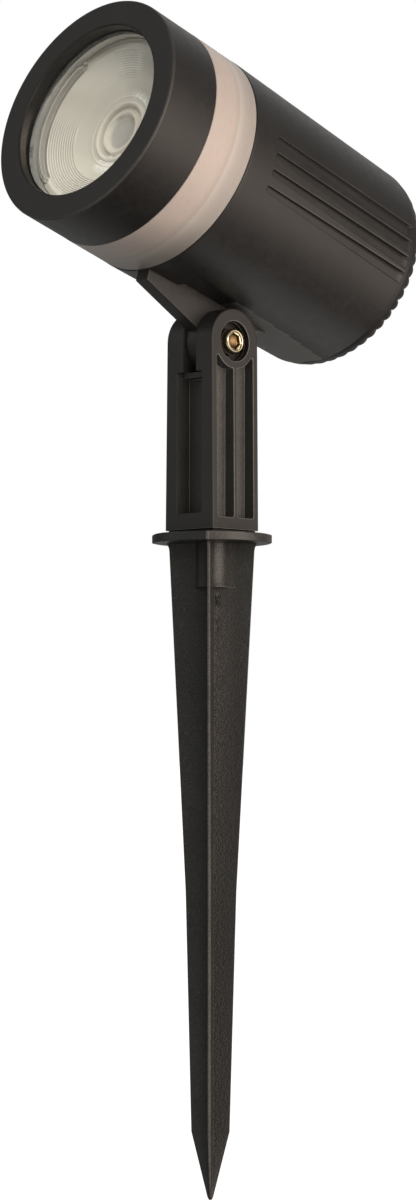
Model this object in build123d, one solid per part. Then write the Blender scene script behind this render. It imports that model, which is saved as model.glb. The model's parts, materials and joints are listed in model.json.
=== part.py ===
from build123d import *
import math
import os

# Garden spike spotlight. Millimetres, +Z up.
# Origin: centre of the flange's underside, where the flange rests on the ground.
# X is the tilt hinge's axis, and the lamp looks towards -Y and upwards.

os.makedirs("parts", exist_ok=True)

# ---- driving dimensions ----
pivot_z = 60.2          # tilt hinge above the ground line
tilt_deg = 17.5         # lamp axis above the horizontal, at rest
axis_off = 44.47        # lamp axis above the hinge axis, square to the lamp axis

# ground spike
fin_az = 40.3           # azimuth of the front fin, from -Y towards +X
fin_t = 1.75
fin_r0, fin_r1, fin_r2 = 12.9, 7.58, 5.69
fin_z1, fin_z2, tip_z = -104.0, -175.0, -195.1
tip_r = 0.65
flange_r, flange_t = 18.05, 2.65
boss_r, boss_len = 4.7, 13.3
insert_r, insert_len = 3.9, 12.0
stud_r, stud_play = 3.0, 0.05

# clevis column
col_z0 = 2.95
col_hx0, col_hx1 = 10.05, 9.5      # half width across the hinge, at the foot and at the ears
col_hy = 9.85                      # half depth
slot_half, slot_depth = 2.8, 9.3   # gap between the ears, and its floor below the hinge
cb_r, cb_floor = 6.1, 7.6          # screw counterbore, and where its floor lies
pocket_ring_r = 8.3
pocket_y0, pocket_y1, pocket_z0, pocket_d = 1.02, 7.7, 7.3, 3.5
front_pocket_hx, front_pocket_z0, front_pocket_d = 5.2, 8.6, 5.4
bridge_t, bridge_set = 1.6, 2.0

# hinge screw and nut
screw_r, screw_play = 2.0, 0.05
head_r, head_h = 3.8, 2.4
nut_af, nut_t = 7.0, 3.2

# lamp head: s runs along the lamp axis, forward positive, zero beside the hinge
s_front, s_bezel, s_ring, s_back, s_end = 69.5, 51.2, 33.66, -41.0, -48.6
r_bezel, r_ring, r_house0, r_house1 = 35.0, 35.05, 35.1, 33.44
mouth_r, mouth_s = 27.0, 65.9
lip_r = 26.4
pocket_r = 29.3
glass_r, glass_s0, glass_s1 = 29.0, 62.4, 64.7
neck_r, neck_in = 33.0, 31.0
house_in = 31.0
flat_off = 33.1
web_half = 2.5
knuckle_r = 8.8
groove_s0 = 23.8
groove_top = (76.5, 85.3, 94.0, 102.5)
cap_r, cap_round, lobes = 33.15, 7.4, 50
pcb_y, pcb_t = -8.0, 1.6             # top face of the driver board, below the lamp axis

names = {}


def save(name, part):
    if isinstance(part, ShapeList):
        part = Compound(children=list(part))
    part.label = name
    export_step(part, f"parts/{name}.step")
    names[name] = part
    print(name, round(part.volume, 2))


def cyl(r, z0, z1):
    """Cylinder about Z between two heights."""
    return Pos(0, 0, (z0 + z1) / 2) * Cylinder(r, z1 - z0)


def tube(r0, r1, z0, z1):
    return cyl(r1, z0, z1) - cyl(r0, z0 - 1, z1 + 1)


def ring_exact(r0, r1, z0, z1):
    """Ring turned from its own section, so that its faces meet its neighbours' exactly."""
    return turned([(r0, z0), (r1, z0), (r1, z1), (r0, z1)])


def turned(pts):
    """Solid turned about Z from (radius, height) points."""
    return revolve(make_face(Polyline([(r, 0, z) for r, z in pts], close=True)), Axis.Z)


def box(x0, x1, y0, y1, z0, z1):
    return Pos((x0 + x1) / 2, (y0 + y1) / 2, (z0 + z1) / 2) * Box(x1 - x0, y1 - y0, z1 - z0)


def prism_x(pts, x0, x1):
    """Prism along X from (y, z) points."""
    face = make_face(Polyline([(x0, y, z) for y, z in pts], close=True))
    return extrude(face, x1 - x0, dir=(1, 0, 0))


def hexagon(af, z0, z1):
    return Pos(0, 0, z0) * extrude(RegularPolygon(af / math.sqrt(3), 6), z1 - z0)


# ================= ground spike =================
def fin():
    pts = [(0, 0.5), (fin_r0, 0.5), (fin_r0, 0), (fin_r1, fin_z1), (fin_r2, fin_z2), (tip_r, tip_z), (0, tip_z)]
    face = make_face(Polyline([(r, -fin_t / 2, z) for r, z in pts], close=True))
    solid = extrude(face, fin_t, dir=(0, 1, 0))
    outer = [e for e in solid.edges() if e.center().X > 1.0 and abs(abs(e.center().Y) - fin_t / 2) < 1e-6
             and e.center().Z < -1 and abs((e @ 0).X - (e @ 1).X) > 0.5 and abs((e @ 0).Z - (e @ 1).Z) > 5]
    return chamfer(outer, 0.35)


one = fin()
spike = cyl(flange_r, 0, flange_t)
spike = fillet([e for e in spike.edges() if e.geom_type == GeomType.CIRCLE], 0.35)
for k in range(4):
    spike = spike + Rot(0, 0, fin_az - 90 + 90 * k) * one
spike = spike + cyl(boss_r, -boss_len, 0.5)
for k in range(4):
    # thicker fin roots beside the boss, down to the boss's end
    spike = spike + Rot(0, 0, fin_az - 90 + 90 * k) * box(0, 7.2, -1.25, 1.25, -boss_len, 0.5)
spike = spike - cyl(insert_r, -insert_len, flange_t + 1)
save("ground_spike", spike)

insert = ring_exact(stud_r + stud_play, insert_r, -insert_len, flange_t)
save("spike_insert", insert)

# ================= clevis column =================
side = make_face(
    Polyline([(-12, -col_hy, pivot_z), (-12, -col_hy, col_z0), (-12, col_hy, col_z0), (-12, col_hy, pivot_z)])
    + ThreePointArc((-12, col_hy, pivot_z), (-12, 0, pivot_z + col_hy), (-12, -col_hy, pivot_z))
)
column = extrude(side, 24, dir=(1, 0, 0))
draft = math.degrees(math.atan2(col_hx0 - col_hx1, pivot_z - col_z0))
for sx in (1, -1):
    wedge = Pos(sx * col_hx0, 0, col_z0) * Rot(0, -sx * draft, 0) * Pos(sx * 10, 0, 40) * Box(20, 40, 140)
    column = column - wedge
edge_list = [e for e in column.edges() if abs(abs(e.center().X)) > 9 and e.length > 20]
column = fillet(edge_list, 0.5)

# gap between the ears
column = column - box(-slot_half, slot_half, -20, 20, pivot_z - slot_depth, pivot_z + 20)
# screw side counterbore, nut side hexagon, clearance hole through both ears
column = column - Pos(0, 0, pivot_z) * Rot(0, 90, 0) * cyl(screw_r + 0.2, -20, 20)
column = column - Pos(0, 0, pivot_z) * Rot(0, 90, 0) * cyl(cb_r, cb_floor, 20)
nut_floor = -6.2
column = column - Pos(0, 0, pivot_z) * Rot(0, -90, 0) * hexagon(nut_af + 0.1, -nut_floor, 20)
# side pockets, two each side, their tops following the ring around the hinge
for sx in (1, -1):
    for sy in (1, -1):
        y0, y1 = sorted((sy * pocket_y0, sy * pocket_y1))
        hx = col_hx0
        cut = box(hx - pocket_d, hx + 2, y0, y1, pocket_z0, pivot_z - 4.5)
        cut = fillet([e for e in cut.edges().filter_by(Axis.X)], 0.8)
        cut = cut - Pos(0, 0, pivot_z) * Rot(0, 90, 0) * cyl(pocket_ring_r, 0, 20)
        if sx < 0:
            cut = mirror(cut, Plane.YZ)
        column = column - cut
# front and back pockets, under the gap; a set-back bridge closes the gap's floor
for sy in (1, -1):
    y0, y1 = sorted((sy * (col_hy - front_pocket_d), sy * 20))
    cut = box(-front_pocket_hx, front_pocket_hx, y0, y1, front_pocket_z0, pivot_z - slot_depth - bridge_t)
    y0, y1 = sorted((sy * (col_hy - bridge_set), sy * 20))
    cut = cut + box(-front_pocket_hx, front_pocket_hx, y0, y1, front_pocket_z0 + 5, pivot_z - slot_depth)
    column = column - cut
# bore for the stud, with a wider seat for its collar
stud_top, collar_r, collar_z0, collar_z1 = 15.0, 3.8, 7.5, 11.5
column = column - cyl(stud_r, col_z0 - 1, stud_top) - cyl(collar_r, collar_z0, collar_z1)
save("bracket", column)

stud = turned([(0, -11.5), (stud_r - 0.4, -11.5), (stud_r, -11.1), (stud_r, collar_z0), (collar_r, collar_z0),
               (collar_r, collar_z1), (stud_r, collar_z1), (stud_r, stud_top), (0, stud_top)])
save("bracket_stud", stud)

# ================= hinge screw and nut =================
to_hinge = Pos(0, 0, pivot_z) * Rot(0, 90, 0)          # local Z becomes +X
screw_end = nut_floor - nut_t - 0.1
prof = make_face(
    Polyline([(0, 0, screw_end), (screw_r - 0.35, 0, screw_end), (screw_r, 0, screw_end + 0.35), (screw_r, 0, cb_floor),
              (head_r, 0, cb_floor), (head_r, 0, cb_floor + 0.5)])
    + ThreePointArc((head_r, 0, cb_floor + 0.5), (head_r * 0.82, 0, cb_floor + 1.55), (head_r * 0.5, 0, cb_floor + head_h))
    + Polyline([(head_r * 0.5, 0, cb_floor + head_h), (0, 0, cb_floor + head_h), (0, 0, screw_end)])
)
screw = revolve(prof, Axis.Z) - hexagon(2.5, cb_floor + head_h - 1.3, cb_floor + head_h + 1)
save("hinge_screw", to_hinge * screw)

nut = hexagon(nut_af, nut_floor - nut_t, nut_floor) - cyl(screw_r, -20, 20)
nut = nut & (turned([(0, nut_floor - nut_t), (3.45, nut_floor - nut_t), (4.3, nut_floor - nut_t + 0.5),
                     (4.3, nut_floor - 0.5), (3.45, nut_floor), (0, nut_floor)]))
save("hinge_nut", to_hinge * nut)

# ================= lamp head =================
e = math.radians(tilt_deg)
# local frame of the lamp: X across, Y up from the hinge, Z forward along the lamp axis
HINGE = Plane(origin=(0, 0, pivot_z), x_dir=(1, 0, 0), z_dir=(0, -math.cos(e), math.sin(e))).location
LAMP = HINGE * Pos(0, axis_off, 0)


def at(r, theta, s):
    """Point at an angle from the top towards +X, in the lamp frame."""
    t = math.radians(theta)
    return (r * math.sin(t), r * math.cos(t), s)


def house_radius(s):
    return r_house0 + (s - s_ring) / (s_back - s_ring) * (r_house1 - r_house0)


# ---- housing barrel ----
barrel = turned([
    (neck_r, s_ring), (r_house0 - 0.25, s_ring), (r_house0, s_ring - 0.25), (r_house1, s_back + 0.3), (r_house1 - 0.3, s_back),
    (house_in, s_back), (house_in, 24.5), (27.7, 24.5), (27.7, 28.6), (neck_r, 28.6)])
# flat underneath, behind the full round front
barrel = barrel - box(-30, 30, -60, -flat_off, -60, 21.0)


# side grooves: a steep upper wall and a floor that runs out below
def groove(theta):
    quads = []
    for s, th, width, depth in ((groove_s0, theta, 3.4, 0.85), (s_back - 1.0, theta - 1.1, 6.5, 1.3)):
        r = house_radius(s)
        p = [at(r + 1.6, th - 0.3, s), at(r - depth, th, s), at(r - 0.12, th + width, s), at(r + 1.6, th + width + 0.6, s)]
        quads.append(make_face(Polyline(p, close=True)))
    return loft(quads, ruled=True)


for th in groove_top:
    g = groove(th)
    barrel = barrel - g - mirror(g, Plane.YZ)

# web and hinge knuckle under the barrel, in (s, height above the hinge)
web_pts = [(33.3, 11.9), (33.3, 6.3), (8.78, 0.65), (0.0, -1.0), (-3.0, 6.0), (-5.0, 7.3), (-18.8, 11.37), (-18.8, 11.9)]
web = extrude(make_face(Polyline([(-web_half, h, s) for s, h in web_pts], close=True)), 2 * web_half, dir=(1, 0, 0))
knuckle = Rot(0, 90, 0) * cyl(knuckle_r, -web_half, web_half)
lug = web + knuckle
lug = lug - Rot(0, 90, 0) * cyl(screw_r + screw_play, -10, 10)
lug = Pos(0, -axis_off, 0) * lug
inner_clear = cyl(32.4, -60, 60) + cyl(33.05, 28.0, 60)
housing = barrel + (lug - inner_clear)
# rails that hold the driver board
for sx in (1, -1):
    x0, x1 = sorted((sx * 26.2, sx * 30.4))
    housing = housing + box(x0, x1, pcb_y, pcb_y + 1.3, -30, 18) + box(x0, x1, pcb_y - pcb_t - 1.3, pcb_y - pcb_t, -30, 18)
# way through the inner flange for the side light's leads
housing = housing - box(9.0, 15.4, 24.0, 30.9, 24.0, 29.0)
# pilot holes in the inner flange for the heat sink screws
hs_r, hs_az = 29.3, (0, 120, 240)
for az in hs_az:
    housing = housing - Pos(*at(hs_r, az, 0)) * cyl(1.0, 24.4, 29.0)
save("housing", LAMP * housing)

# ---- front bezel ----
bezel = turned([
    (neck_r, s_bezel), (r_bezel - 0.2, s_bezel), (r_bezel, s_bezel + 0.2), (r_bezel, s_front), (mouth_r, s_front),
    (mouth_r, mouth_s), (lip_r, mouth_s), (27.3, 65.2), (pocket_r, 65.2), (pocket_r, 56.3), (neck_r, 56.3)])
rim = [ed for ed in bezel.edges() if ed.geom_type == GeomType.CIRCLE and abs(ed.center().Z - s_front) < 1e-6]
bezel = fillet([ed for ed in rim if ed.radius > 30], 0.8)
rim = [ed for ed in bezel.edges() if ed.geom_type == GeomType.CIRCLE and abs(ed.center().Z - s_front) < 1e-6 and ed.radius < 28]
bezel = fillet(rim, 0.6)
save("front_bezel", LAMP * bezel)

# ---- translucent ring, with a neck at each end and a groove for each seal ----
ring = turned([
    (r_ring - 0.15, s_ring), (r_ring, s_ring + 0.15), (r_ring, s_bezel - 0.15), (r_ring - 0.15, s_bezel), (neck_r, s_bezel),
    (neck_r, 52.6), (32.0, 52.6), (32.0, 54.0), (neck_r, 54.0), (neck_r, 56.1), (neck_in, 56.1),
    (neck_in, 49.5), (32.4, 48.0), (32.4, 36.4), (neck_in, 34.9),
    (neck_in, 28.8), (neck_r, 28.8), (neck_r, 30.4), (32.0, 30.4), (32.0, 31.8), (neck_r, 31.8), (neck_r, s_ring)])
save("diffuser_ring", LAMP * ring)
save("bezel_seal", LAMP * ring_exact(32.0, neck_r, 52.6, 54.0))
save("ring_seal", LAMP * ring_exact(32.0, neck_r, 30.4, 31.8))

# ---- glass and its gasket ----
save("glass_gasket", LAMP * ring_exact(27.4, pocket_r, glass_s1, 65.2))
glass = turned([(0, glass_s0), (glass_r - 0.3, glass_s0), (glass_r, glass_s0 + 0.3), (glass_r, glass_s1 - 0.3), (glass_r - 0.3, glass_s1), (0, glass_s1)])
save("cover_glass", LAMP * glass)

# ---- lens holder, optic, light source ----
hold_in, hold_out = 23.3, 27.0
plate_s0, plate_s1, plateau = 28.6, 31.6, 34.1      # heat sink disc and its raised middle
holder = turned([(27.0, glass_s0), (pocket_r, glass_s0), (pocket_r, 56.4), (29.0, 56.4), (29.0, 54.5), (hold_out, 54.5), (hold_out, plate_s1),
                 (hold_in, plate_s1), (hold_in, 58.4), (27.0, 58.4)])
hold_az = (60, 180, 300)
for az in hold_az:
    holder = holder - Pos(*at(25.15, az, 0)) * cyl(1.25, 25, 39.6)
save("lens_holder", LAMP * holder)

optic = turned([
    (0, 40.6), (3.2, 40.6), (3.2, 38.4), (8.6, 38.4), (14.0, 45.0), (19.0, 52.0), (22.9, 58.4), (26.7, 58.4), (26.7, 60.2),
    (24.2, 60.2), (23.6, 59.6), (21.5, 58.2), (16.5, 55.6), (12.4, 53.6), (12.0, 51.8), (9.6, 51.2), (9.4, 49.0), (6.0, 48.6), (5.6, 46.6), (0, 46.9)])
save("optic_lens", LAMP * optic)

pad_s1 = plateau + 0.5
board_s1 = pad_s1 + 1.6
wire_r, wire_at, ring_wire_r = 0.65, ((-2.0, 14.5), (2.0, 14.5)), 0.5
ring_wire_at = ((13.6, 26.4), (10.4, 26.4))
board_az = (45, 165, 285)
sink = turned([(0, plate_s0), (30.9, plate_s0), (30.9, plate_s1), (23.2, plate_s1), (22.6, plateau), (0, plateau)])
sink = sink + tube(20.0, 26.6, 12.0, plate_s0 + 0.5)
for az in hold_az:
    sink = sink - Pos(*at(25.15, az, 0)) * cyl(1.35, 10, plate_s1 + 1) - Pos(*at(25.15, az, 0)) * cyl(2.4, 10, 24.0)
for az in hs_az:
    sink = sink - Pos(*at(hs_r, az, 0)) * cyl(1.05, 27, 33)
    cone = turned([(0, plate_s1 - 1.0), (1.05, plate_s1 - 1.0), (1.75, plate_s1 - 0.3), (1.75, plate_s1 + 1), (0, plate_s1 + 1)])
    sink = sink - Pos(*at(hs_r, az, 0)) * cone
for az in board_az:
    sink = sink - Pos(*at(16.0, az, 0)) * cyl(1.5, 29.5, 40)
sink = sink - Pos(0, 14.5, 0) * Box(8, 5, 200)
for x, y in ring_wire_at:
    sink = sink - Pos(x, y, 0) * cyl(1.1, 0, 50)
save("heat_sink", LAMP * sink)

pad = cyl(18.5, plateau, pad_s1) - box(-4, 4, 12, 40, 30, 40)
led_board = cyl(20.0, pad_s1, board_s1)
b_screws = []
for az in board_az:
    pad = pad - Pos(*at(16.0, az, 0)) * cyl(1.5, 30, 45)
    led_board = led_board - Pos(*at(16.0, az, 0)) * cyl(1.5, 30, 45)
    sc = turned([(0, 29.5), (1.5, 29.5), (1.5, board_s1), (2.75, board_s1), (2.75, board_s1 + 0.9), (2.2, board_s1 + 1.7), (0, board_s1 + 1.7)])
    sc = sc - hexagon(2.0, board_s1 + 0.7, board_s1 + 3)
    b_screws.append(LAMP * Pos(*at(16.0, az, 0)) * sc)
for x, y in wire_at:
    led_board = led_board - Pos(x, y, 0) * cyl(wire_r, 30, 45)
save("thermal_pad", LAMP * pad)
save("led_board", LAMP * led_board)
save("board_screws", Compound(children=b_screws))

led = turned([(0, board_s1), (6.5, board_s1), (6.5, board_s1 + 0.9), (4.6, board_s1 + 0.9), (4.4, board_s1 + 1.2), (0, board_s1 + 1.2)])
save("spot_led", LAMP * led)

# ---- side light behind the translucent ring ----
ring_board = ring_exact(27.3, 30.7, plate_s1, plate_s1 + 1.2)
for x, y in ring_wire_at:
    ring_board = ring_board - Pos(x, y, 0) * cyl(ring_wire_r, 30, 40)
save("ring_led_board", LAMP * ring_board)
leds = [LAMP * Rot(0, 0, -(15 + 30 * k)) * Pos(0, 29.0, plate_s1 + 1.2 + 0.4) * Box(3.5, 2.8, 0.8) for k in range(12)]
save("ring_leds", Compound(children=leds))

# ---- fasteners inside ----
h_screws = []
for az in hold_az:
    sc = turned([(0, 22.3), (2.25, 22.3), (2.25, 24.0), (1.25, 24.0), (1.25, 39.6), (0, 39.6)])
    h_screws.append(LAMP * Pos(*at(25.15, az, 0)) * sc)
save("holder_screws", Compound(children=h_screws))
s_screws = []
for az in hs_az:
    sc = turned([(0, 24.4), (1.0, 24.4), (1.0, plate_s1 - 1.0), (1.7, plate_s1 - 0.3), (1.7, plate_s1), (0, plate_s1)])
    s_screws.append(LAMP * Pos(*at(hs_r, az, 0)) * sc)
save("heat_sink_screws", Compound(children=s_screws))

# ---- driver, on a board held in the housing's rails ----
DRV = LAMP * Pos(0, pcb_y, 0)
save("driver_board", DRV * box(-29.0, 29.0, -pcb_t, 0, -30, 10))
transformer = box(-9, 9, 0, 13.5, -6, 9.5)
transformer = fillet(transformer.edges().filter_by(Axis.Y), 1.5) + box(-6.5, 6.5, 13.5, 15.5, -4, 6.5)
save("driver_transformer", DRV * transformer)
save("driver_capacitor", DRV * Pos(16.5, 5.0, 0) * cyl(5.0, -12, 4))
chips = [DRV * box(-22, -14, 0, 2.2, -16, -8), DRV * box(-25, -19, 0, 3.0, -2, 4), DRV * box(-12, -8, 0, 1.6, -16, -11), DRV * box(20, 26, 0, 2.0, 5, 9)]
save("driver_chips", Compound(children=chips))
block = box(-8, 8, 0, 9.0, -28, -18)
for x in (-4.0, 4.0):
    block = block - Pos(x, 3.6, 0) * cyl(1.7, -40, -20) - Pos(x, 0, -22) * Rot(-90, 0, 0) * cyl(1.5, 5.5, 12)
save("terminal_block", DRV * block)


# ---- short inner leads, from the driver board forward through the heat sink ----
def lead(pts, r):
    vs = [Vector(*p) for p in pts]
    radii = []
    for i in range(1, len(vs) - 1):
        u, w = vs[i] - vs[i - 1], vs[i + 1] - vs[i]
        radii.append(0.45 * min(u.length, w.length) / math.tan(math.radians(u.get_angle(w)) / 2))
    path = FilletPolyline(*pts, radius=radii)
    solid = sweep(Plane(origin=path @ 0, z_dir=path % 0) * Circle(r), path=path)
    print("lead radii", [round(x, 1) for x in radii], "volume ratio", round(solid.volume / (math.pi * r * r * path.length), 4))
    return solid


wires = []
for x, y in wire_at:
    k = 1 if x > 0 else -1
    wires.append(LAMP * lead([(k * 11.5, pcb_y, 8.5), (k * 11.5, 5.0, 8.5), (k * 6.5, 12.5, 14.5), (x, y, 21.5), (x, y, board_s1)], wire_r))
save("led_wires", Compound(children=wires))
wires = []
for x, y in ring_wire_at:
    wires.append(LAMP * lead([(x + 3.4, pcb_y, 7.2), (x + 3.4, 12.0, 7.2), (x, y, 9.3), (x, y, plate_s1 + 1.2)], ring_wire_r))
save("ring_wires", Compound(children=wires))

# ================= rear cap =================
cap_prof = make_face(
    Polyline([(0, 0, s_end + 3.0), (0, 0, s_end), (cap_r - cap_round, 0, s_end)])
    + ThreePointArc((cap_r - cap_round, 0, s_end),
                    (cap_r - cap_round + cap_round * math.sin(math.pi / 4), 0, s_end + cap_round * (1 - math.cos(math.pi / 4))),
                    (cap_r, 0, s_end + cap_round))
    + Polyline([(cap_r, 0, s_end + cap_round), (cap_r, 0, s_back), (house_in, 0, s_back), (house_in, 0, -39.6), (30.0, 0, -39.6),
                (30.0, 0, -38.0), (house_in, 0, -38.0), (house_in, 0, -36.0), (28.6, 0, -36.0), (28.6, 0, s_end + 3.0), (0, 0, s_end + 3.0)])
)
cap = revolve(cap_prof, Axis.Z)
cx = cap_r - cap_round + cap_round * math.sin(math.pi / 4)
cz = s_end + cap_round * (1 - math.cos(math.pi / 4))
notch_d = 1.25
vee = Pos(cx, 0, cz) * Rot(0, 45, 0) * Pos(-notch_d, 0, 0) * Rot(0, 0, -45) * Pos(2.5, 2.5, 0) * Box(5, 5, 30)
vees = [Rot(0, 0, 360 / lobes * (k + 0.5)) * vee for k in range(lobes)]
cap = cap - vees
cap = cap - cyl(6.25, -60, -40)
save("rear_cap", LAMP * cap)
save("rear_cap_seal", LAMP * ring_exact(30.0, house_in, -39.6, -38.0))

# ---- cable gland in the cap ----
g_hex_t, g_nut_l = 3.6, 7.0
g0 = s_end - g_hex_t
gl = hexagon(15.0, g0, s_end) + cyl(6.25, s_end - 0.5, -41.4) + cyl(5.9, g0 - 3.2, g0 + 0.5)
gl = gl - cyl(4.5, g0 - 5, -50.5) - cyl(4.0, -60, -40)
save("gland_body", LAMP * gl)
lock = hexagon(16.0, s_end + 3.0, s_end + 5.8) - cyl(6.25, -60, -30)
save("gland_locknut", LAMP * lock)
g_end = g0 - g_nut_l
seal_r = 3.2
seal = ring_exact(seal_r, 4.5, g0 - 5.4, -50.5)
save("gland_seal", LAMP * seal)
dome = turned([(5.9, g0 - 0.1), (7.3, g0 - 0.1), (7.3, g0 - 4.6), (5.6, g_end), (3.7, g_end), (3.7, g0 - 5.4), (4.5, g0 - 5.4), (4.5, g0 - 3.2), (5.9, g0 - 3.2)])
save("gland_nut", LAMP * dome)
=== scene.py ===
import bpy, bmesh, json, math
from mathutils import Vector, Matrix


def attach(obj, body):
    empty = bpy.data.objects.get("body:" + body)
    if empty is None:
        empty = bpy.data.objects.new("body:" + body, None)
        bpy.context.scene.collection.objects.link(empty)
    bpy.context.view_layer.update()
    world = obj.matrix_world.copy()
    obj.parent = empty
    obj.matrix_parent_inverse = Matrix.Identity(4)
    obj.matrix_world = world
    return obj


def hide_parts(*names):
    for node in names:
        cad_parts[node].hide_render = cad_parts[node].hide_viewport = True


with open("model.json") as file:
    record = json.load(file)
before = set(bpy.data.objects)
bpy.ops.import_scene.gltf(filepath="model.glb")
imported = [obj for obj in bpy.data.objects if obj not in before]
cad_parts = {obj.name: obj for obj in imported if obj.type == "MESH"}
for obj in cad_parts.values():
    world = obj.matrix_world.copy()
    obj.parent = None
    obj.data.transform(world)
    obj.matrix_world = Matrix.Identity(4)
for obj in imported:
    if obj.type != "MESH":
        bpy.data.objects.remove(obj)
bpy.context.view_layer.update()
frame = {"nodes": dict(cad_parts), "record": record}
NODES = frame["nodes"]
scene = bpy.context.scene

# ------------------------------------------------------------------ dimensions, in millimetres
PIVOT, E, OFF = 60.2, math.radians(17.5), 44.47
CE, SE = math.cos(E), math.sin(E)
# lamp frame: X across, Y up from the lamp axis, Z forward along it
LAMP = Matrix(((1, 0, 0, 0), (0, SE, -CE, OFF * SE), (0, CE, SE, PIVOT + OFF * CE), (0, 0, 0, 1)))
MM = Matrix.Scale(0.001, 4)
HINGE = Matrix.Translation((0, 0, PIVOT)) @ Matrix(((0, 0, 1, 0), (0, 1, 0, 0), (-1, 0, 0, 0), (0, 0, 0, 1)))   # local Z is +X


def put(name, verts, faces, place, mat, body, replaces=None, slot=None, smooth=True, sharp=30.0):
    """A mesh piece from millimetre points in a local frame."""
    m = bpy.data.meshes.new(name)
    m.from_pydata([tuple(v) for v in verts], [], faces)
    m.validate()
    m.transform(MM @ place)
    o = bpy.data.objects.new(name, m)
    scene.collection.objects.link(o)
    finish_mesh(o, smooth, sharp)
    if mat:
        m.materials.append(mat)
    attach(o, body)
    if replaces:
        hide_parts(*([replaces] if isinstance(replaces, str) else replaces))
    return o


def finish_mesh(o, smooth=True, sharp=30.0):
    m = o.data
    bm = bmesh.new()
    bm.from_mesh(m)
    bmesh.ops.recalc_face_normals(bm, faces=bm.faces)
    for f in bm.faces:
        f.smooth = smooth
    lim = math.radians(sharp)
    for e in bm.edges:
        e.smooth = not (len(e.link_faces) == 2 and e.calc_face_angle(0) > lim)
    bm.to_mesh(m)
    bm.free()


# ------------------------------------------------------------------ materials
class Mat:
    """Small helper around a node tree with one Principled shader."""

    def __init__(self, name):
        self.m = bpy.data.materials.new(name)
        self.m.use_nodes = True
        self.t = self.m.node_tree
        self.t.nodes.clear()
        self.out = self.t.nodes.new("ShaderNodeOutputMaterial")
        self.p = self.t.nodes.new("ShaderNodeBsdfPrincipled")
        self.t.links.new(self.p.outputs[0], self.out.inputs[0])
        self.co = self.t.nodes.new("ShaderNodeTexCoord").outputs["Object"]

    def link(self, a, b):
        self.t.links.new(a, b)
        return b

    def node(self, kind, **kw):
        n = self.t.nodes.new(kind)
        for k, v in kw.items():
            setattr(n, k, v)
        return n

    def noise(self, scale, detail=3.0, rough=0.55, vec=None):
        n = self.node("ShaderNodeTexNoise")
        n.inputs["Scale"].default_value = scale
        n.inputs["Detail"].default_value = detail
        n.inputs["Roughness"].default_value = rough
        self.link(vec or self.co, n.inputs["Vector"])
        return n.outputs["Fac"]

    def voronoi(self, scale, vec=None, feature="F1", out="Distance"):
        n = self.node("ShaderNodeTexVoronoi", feature=feature)
        n.inputs["Scale"].default_value = scale
        self.link(vec or self.co, n.inputs["Vector"])
        return n.outputs[out]

    def math(self, op, a, b=0.0, c=0.0):
        n = self.node("ShaderNodeMath", operation=op)
        for i, x in enumerate((a, b, c)):
            if isinstance(x, (int, float)):
                n.inputs[i].default_value = x
            else:
                self.link(x, n.inputs[i])
        return n.outputs[0]

    def ramp(self, fac, stops, interp="LINEAR"):
        n = self.node("ShaderNodeValToRGB")
        n.color_ramp.interpolation = interp
        while len(n.color_ramp.elements) < len(stops):
            n.color_ramp.elements.new(0.5)
        for el, (pos, col) in zip(n.color_ramp.elements, stops):
            el.position = pos
            el.color = (*col, 1) if len(col) == 3 else col
        self.link(fac, n.inputs["Fac"])
        return n.outputs["Color"]

    def grey(self, fac, lo, hi, f0=0.0, f1=1.0):
        n = self.node("ShaderNodeMapRange")
        n.inputs["From Min"].default_value = f0
        n.inputs["From Max"].default_value = f1
        n.inputs["To Min"].default_value = lo
        n.inputs["To Max"].default_value = hi
        self.link(fac, n.inputs["Value"])
        return n.outputs["Result"]

    def mix(self, fac, a, b):
        n = self.node("ShaderNodeMix", data_type="RGBA")
        for sock, x in ((n.inputs[0], fac), (n.inputs[6], a), (n.inputs[7], b)):
            if isinstance(x, (int, float)):
                sock.default_value = x
            elif isinstance(x, tuple):
                sock.default_value = (*x, 1) if len(x) == 3 else x
            else:
                self.link(x, sock)
        return n.outputs[2]

    def bump(self, height, strength, distance, below=None):
        n = self.node("ShaderNodeBump")
        n.inputs["Strength"].default_value = strength
        n.inputs["Distance"].default_value = distance
        self.link(height, n.inputs["Height"])
        if below:
            self.link(below, n.inputs["Normal"])
        return n.outputs["Normal"]

    def set(self, **kw):
        for k, v in kw.items():
            s = self.p.inputs[k.replace("_", " ")]
            if isinstance(v, (int, float)):
                s.default_value = v
            elif isinstance(v, tuple):
                s.default_value = (*v, 1) if len(v) == 3 and s.type == "RGBA" else v
            else:
                self.link(v, s)
        return self


def moulded(name, dark, light, rough, grain=2600, depth=0.00003, specks=0.0, spec=0.5, mottle=0.5):
    """Moulded thermoplastic: fine spark-eroded grain, faint flow clouds, a few pale specks."""
    k = Mat(name)
    cloud = k.noise(55, 4, 0.6)
    patch = k.noise(420, 3, 0.65)
    fine = k.noise(grain, 2, 0.6)
    pores = k.voronoi(grain * 0.55)
    mixv = k.math("ADD", k.math("MULTIPLY", cloud, 0.30), k.math("ADD", k.math("MULTIPLY", fine, 0.7 - 0.35 * mottle), k.math("MULTIPLY", patch, 0.35 * mottle)))
    col = k.ramp(mixv, [(0.36, tuple(0.86 * c for c in dark)), (0.66, tuple(1.10 * c for c in light))])
    if specks:
        dust = k.voronoi(1250)
        keep = k.math("LESS_THAN", dust, 0.16)
        which = k.noise(260, 2, 0.6)
        keep = k.math("MULTIPLY", keep, k.math("GREATER_THAN", which, 0.52))
        col = k.mix(k.math("MULTIPLY", keep, specks), col, (0.20, 0.19, 0.17))
    rgh = k.grey(k.math("ADD", k.math("MULTIPLY", patch, 0.5), k.math("MULTIPLY", fine, 0.5)), rough - 0.09, rough + 0.09, 0.32, 0.68)
    h = k.math("ADD", k.math("MULTIPLY", fine, 0.7), k.math("MULTIPLY", pores, 0.5))
    k.set(Base_Color=col, Roughness=rgh, Normal=k.bump(h, 0.8, depth), Specular_IOR_Level=spec)
    return k.m


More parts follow.
